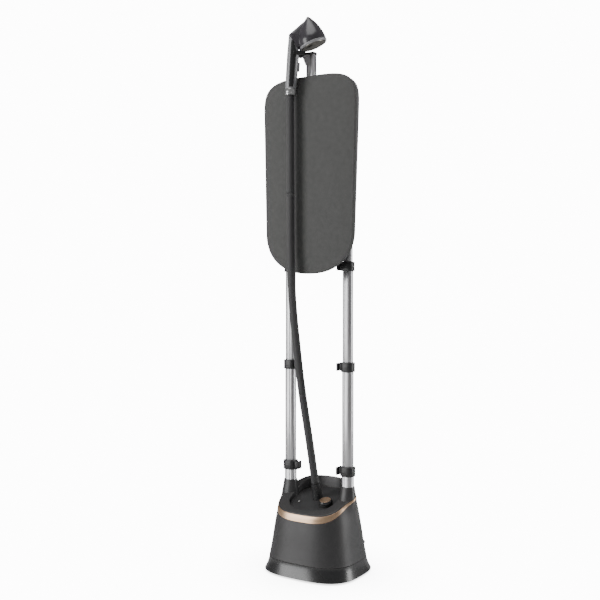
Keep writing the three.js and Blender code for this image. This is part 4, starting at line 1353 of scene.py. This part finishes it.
def make_stage(sizes):
    """Pale round floor, soft lights at both sides and above, and the camera."""
    make_camera()
    make_world()
    rings = [squircle(r, r, 2, 96, -0.0002) for r in (25.0, 8.0, 3.0, 1.0, 0.3)]
    points, faces = skin(rings, start_cap=False)
    floor = build("floor", points, faces, floor_material())
    right = Vector((math.cos(CAMERA_TURN[2]), math.sin(CAMERA_TURN[2]), 0))
    ahead = Vector((-right.y, right.x, 0))
    up = Vector((0, 0, 1))
    for name, (aside, on, high), aim, size, watts in LIGHTS:
        soft_light(name, aside * right + on * ahead + high * up, (0, 0, aim), *size, watts)


# ---- operators -------------------------------------------------------------------------------------
def run(work, context):
    """Runs one builder, making the finishes first if they aren't there, and lets its errors through."""
    if not MATERIALS:
        make_materials(context.scene.steamer_sizes, context.scene.steamer_looks)
    work(context.scene.steamer_sizes)
    return {"FINISHED"}


class STEAMER_OT_stage(bpy.types.Operator):
    """Makes the floor, the lights, the surroundings and the camera."""

    bl_idname = "steamer.stage"
    bl_label = "Stage"

    def execute(self, context):
        return run(make_stage, context)


class STEAMER_OT_hose(bpy.types.Operator):
    """Makes the hose from the deck up into the handset."""

    bl_idname = "steamer.hose"
    bl_label = "Steam hose"

    def execute(self, context):
        return run(make_hose, context)


class STEAMER_OT_base(bpy.types.Operator):
    """Makes the skirt, body, collar with pole sockets, and band."""

    bl_idname = "steamer.base"
    bl_label = "Base shells"

    def execute(self, context):
        return run(make_base, context)


class STEAMER_OT_deck(bpy.types.Operator):
    """Makes the deck panel, lamp, steam dial and hose cuff."""

    bl_idname = "steamer.deck"
    bl_label = "Deck fittings"

    def execute(self, context):
        return run(make_deck, context)


class STEAMER_OT_tank(bpy.types.Operator):
    """Makes the water tank, its cap and the mains gland."""

    bl_idname = "steamer.tank"
    bl_label = "Water tank"

    def execute(self, context):
        return run(make_tank, context)


class STEAMER_OT_carried(bpy.types.Operator):
    """Finishes the pieces inside and under the base."""

    bl_idname = "steamer.carried"
    bl_label = "Inner pieces"

    def execute(self, context):
        return run(finish_carried, context)


class STEAMER_OT_poles(bpy.types.Operator):
    """Makes the sections of both telescopic poles."""

    bl_idname = "steamer.poles"
    bl_label = "Poles"

    def execute(self, context):
        return run(make_poles, context)


class STEAMER_OT_clamps(bpy.types.Operator):
    """Makes the clamps between the pole sections and their levers."""

    bl_idname = "steamer.clamps"
    bl_label = "Clamps and levers"

    def execute(self, context):
        return run(make_clamps, context)


class STEAMER_OT_bridge(bpy.types.Operator):
    """Makes the bridge, the column on it and the handset's dock."""

    bl_idname = "steamer.bridge"
    bl_label = "Bridge, column and dock"

    def execute(self, context):
        return run(make_bridge, context)


class STEAMER_OT_board(bpy.types.Operator):
    """Makes the padded cover and its tray."""

    bl_idname = "steamer.board"
    bl_label = "Board"

    def execute(self, context):
        return run(make_board, context)


class STEAMER_OT_handset(bpy.types.Operator):
    """Makes the handle, inlay, collar ring and trigger."""

    bl_idname = "steamer.handset"
    bl_label = "Handle and trigger"

    def execute(self, context):
        return run(make_handset, context)


class STEAMER_OT_head(bpy.types.Operator):
    """Makes the head, the plate's rim and the steam plate."""

    bl_idname = "steamer.head"
    bl_label = "Steam head"

    def execute(self, context):
        return run(make_head, context)


OPERATORS = (
    STEAMER_OT_stage,
    STEAMER_OT_hose,
    STEAMER_OT_base,
    STEAMER_OT_deck,
    STEAMER_OT_tank,
    STEAMER_OT_carried,
    STEAMER_OT_poles,
    STEAMER_OT_clamps,
    STEAMER_OT_bridge,
    STEAMER_OT_board,
    STEAMER_OT_handset,
    STEAMER_OT_head,
)


class STEAMER_PT_panel(bpy.types.Panel):
    """Lists the building steps of the steamer."""

    bl_idname = "STEAMER_PT_panel"
    bl_label = "Garment Steamer"
    bl_space_type = "VIEW_3D"
    bl_region_type = "UI"
    bl_category = "Steamer"

    def draw(self, context):
        for settings in (context.scene.steamer_sizes, context.scene.steamer_looks):
            for name in settings.__annotations__:
                self.layout.prop(settings, name)
        for operator in OPERATORS:
            self.layout.operator(operator.bl_idname)


CLASSES = (SteamerSizes, SteamerLooks, *OPERATORS, STEAMER_PT_panel)


def register():
    for item in CLASSES:
        bpy.utils.register_class(item)
    bpy.types.Scene.steamer_sizes = bpy.props.PointerProperty(type=SteamerSizes)
    bpy.types.Scene.steamer_looks = bpy.props.PointerProperty(type=SteamerLooks)


def unregister():
    del bpy.types.Scene.steamer_looks
    del bpy.types.Scene.steamer_sizes
    for item in reversed(CLASSES):
        bpy.utils.unregister_class(item)


def main():
    """Builds the whole steamer."""
    register()
    for operator in OPERATORS:
        getattr(bpy.ops.steamer, operator.bl_idname.split(".")[1])()


if __name__ == "__main__":
    main()
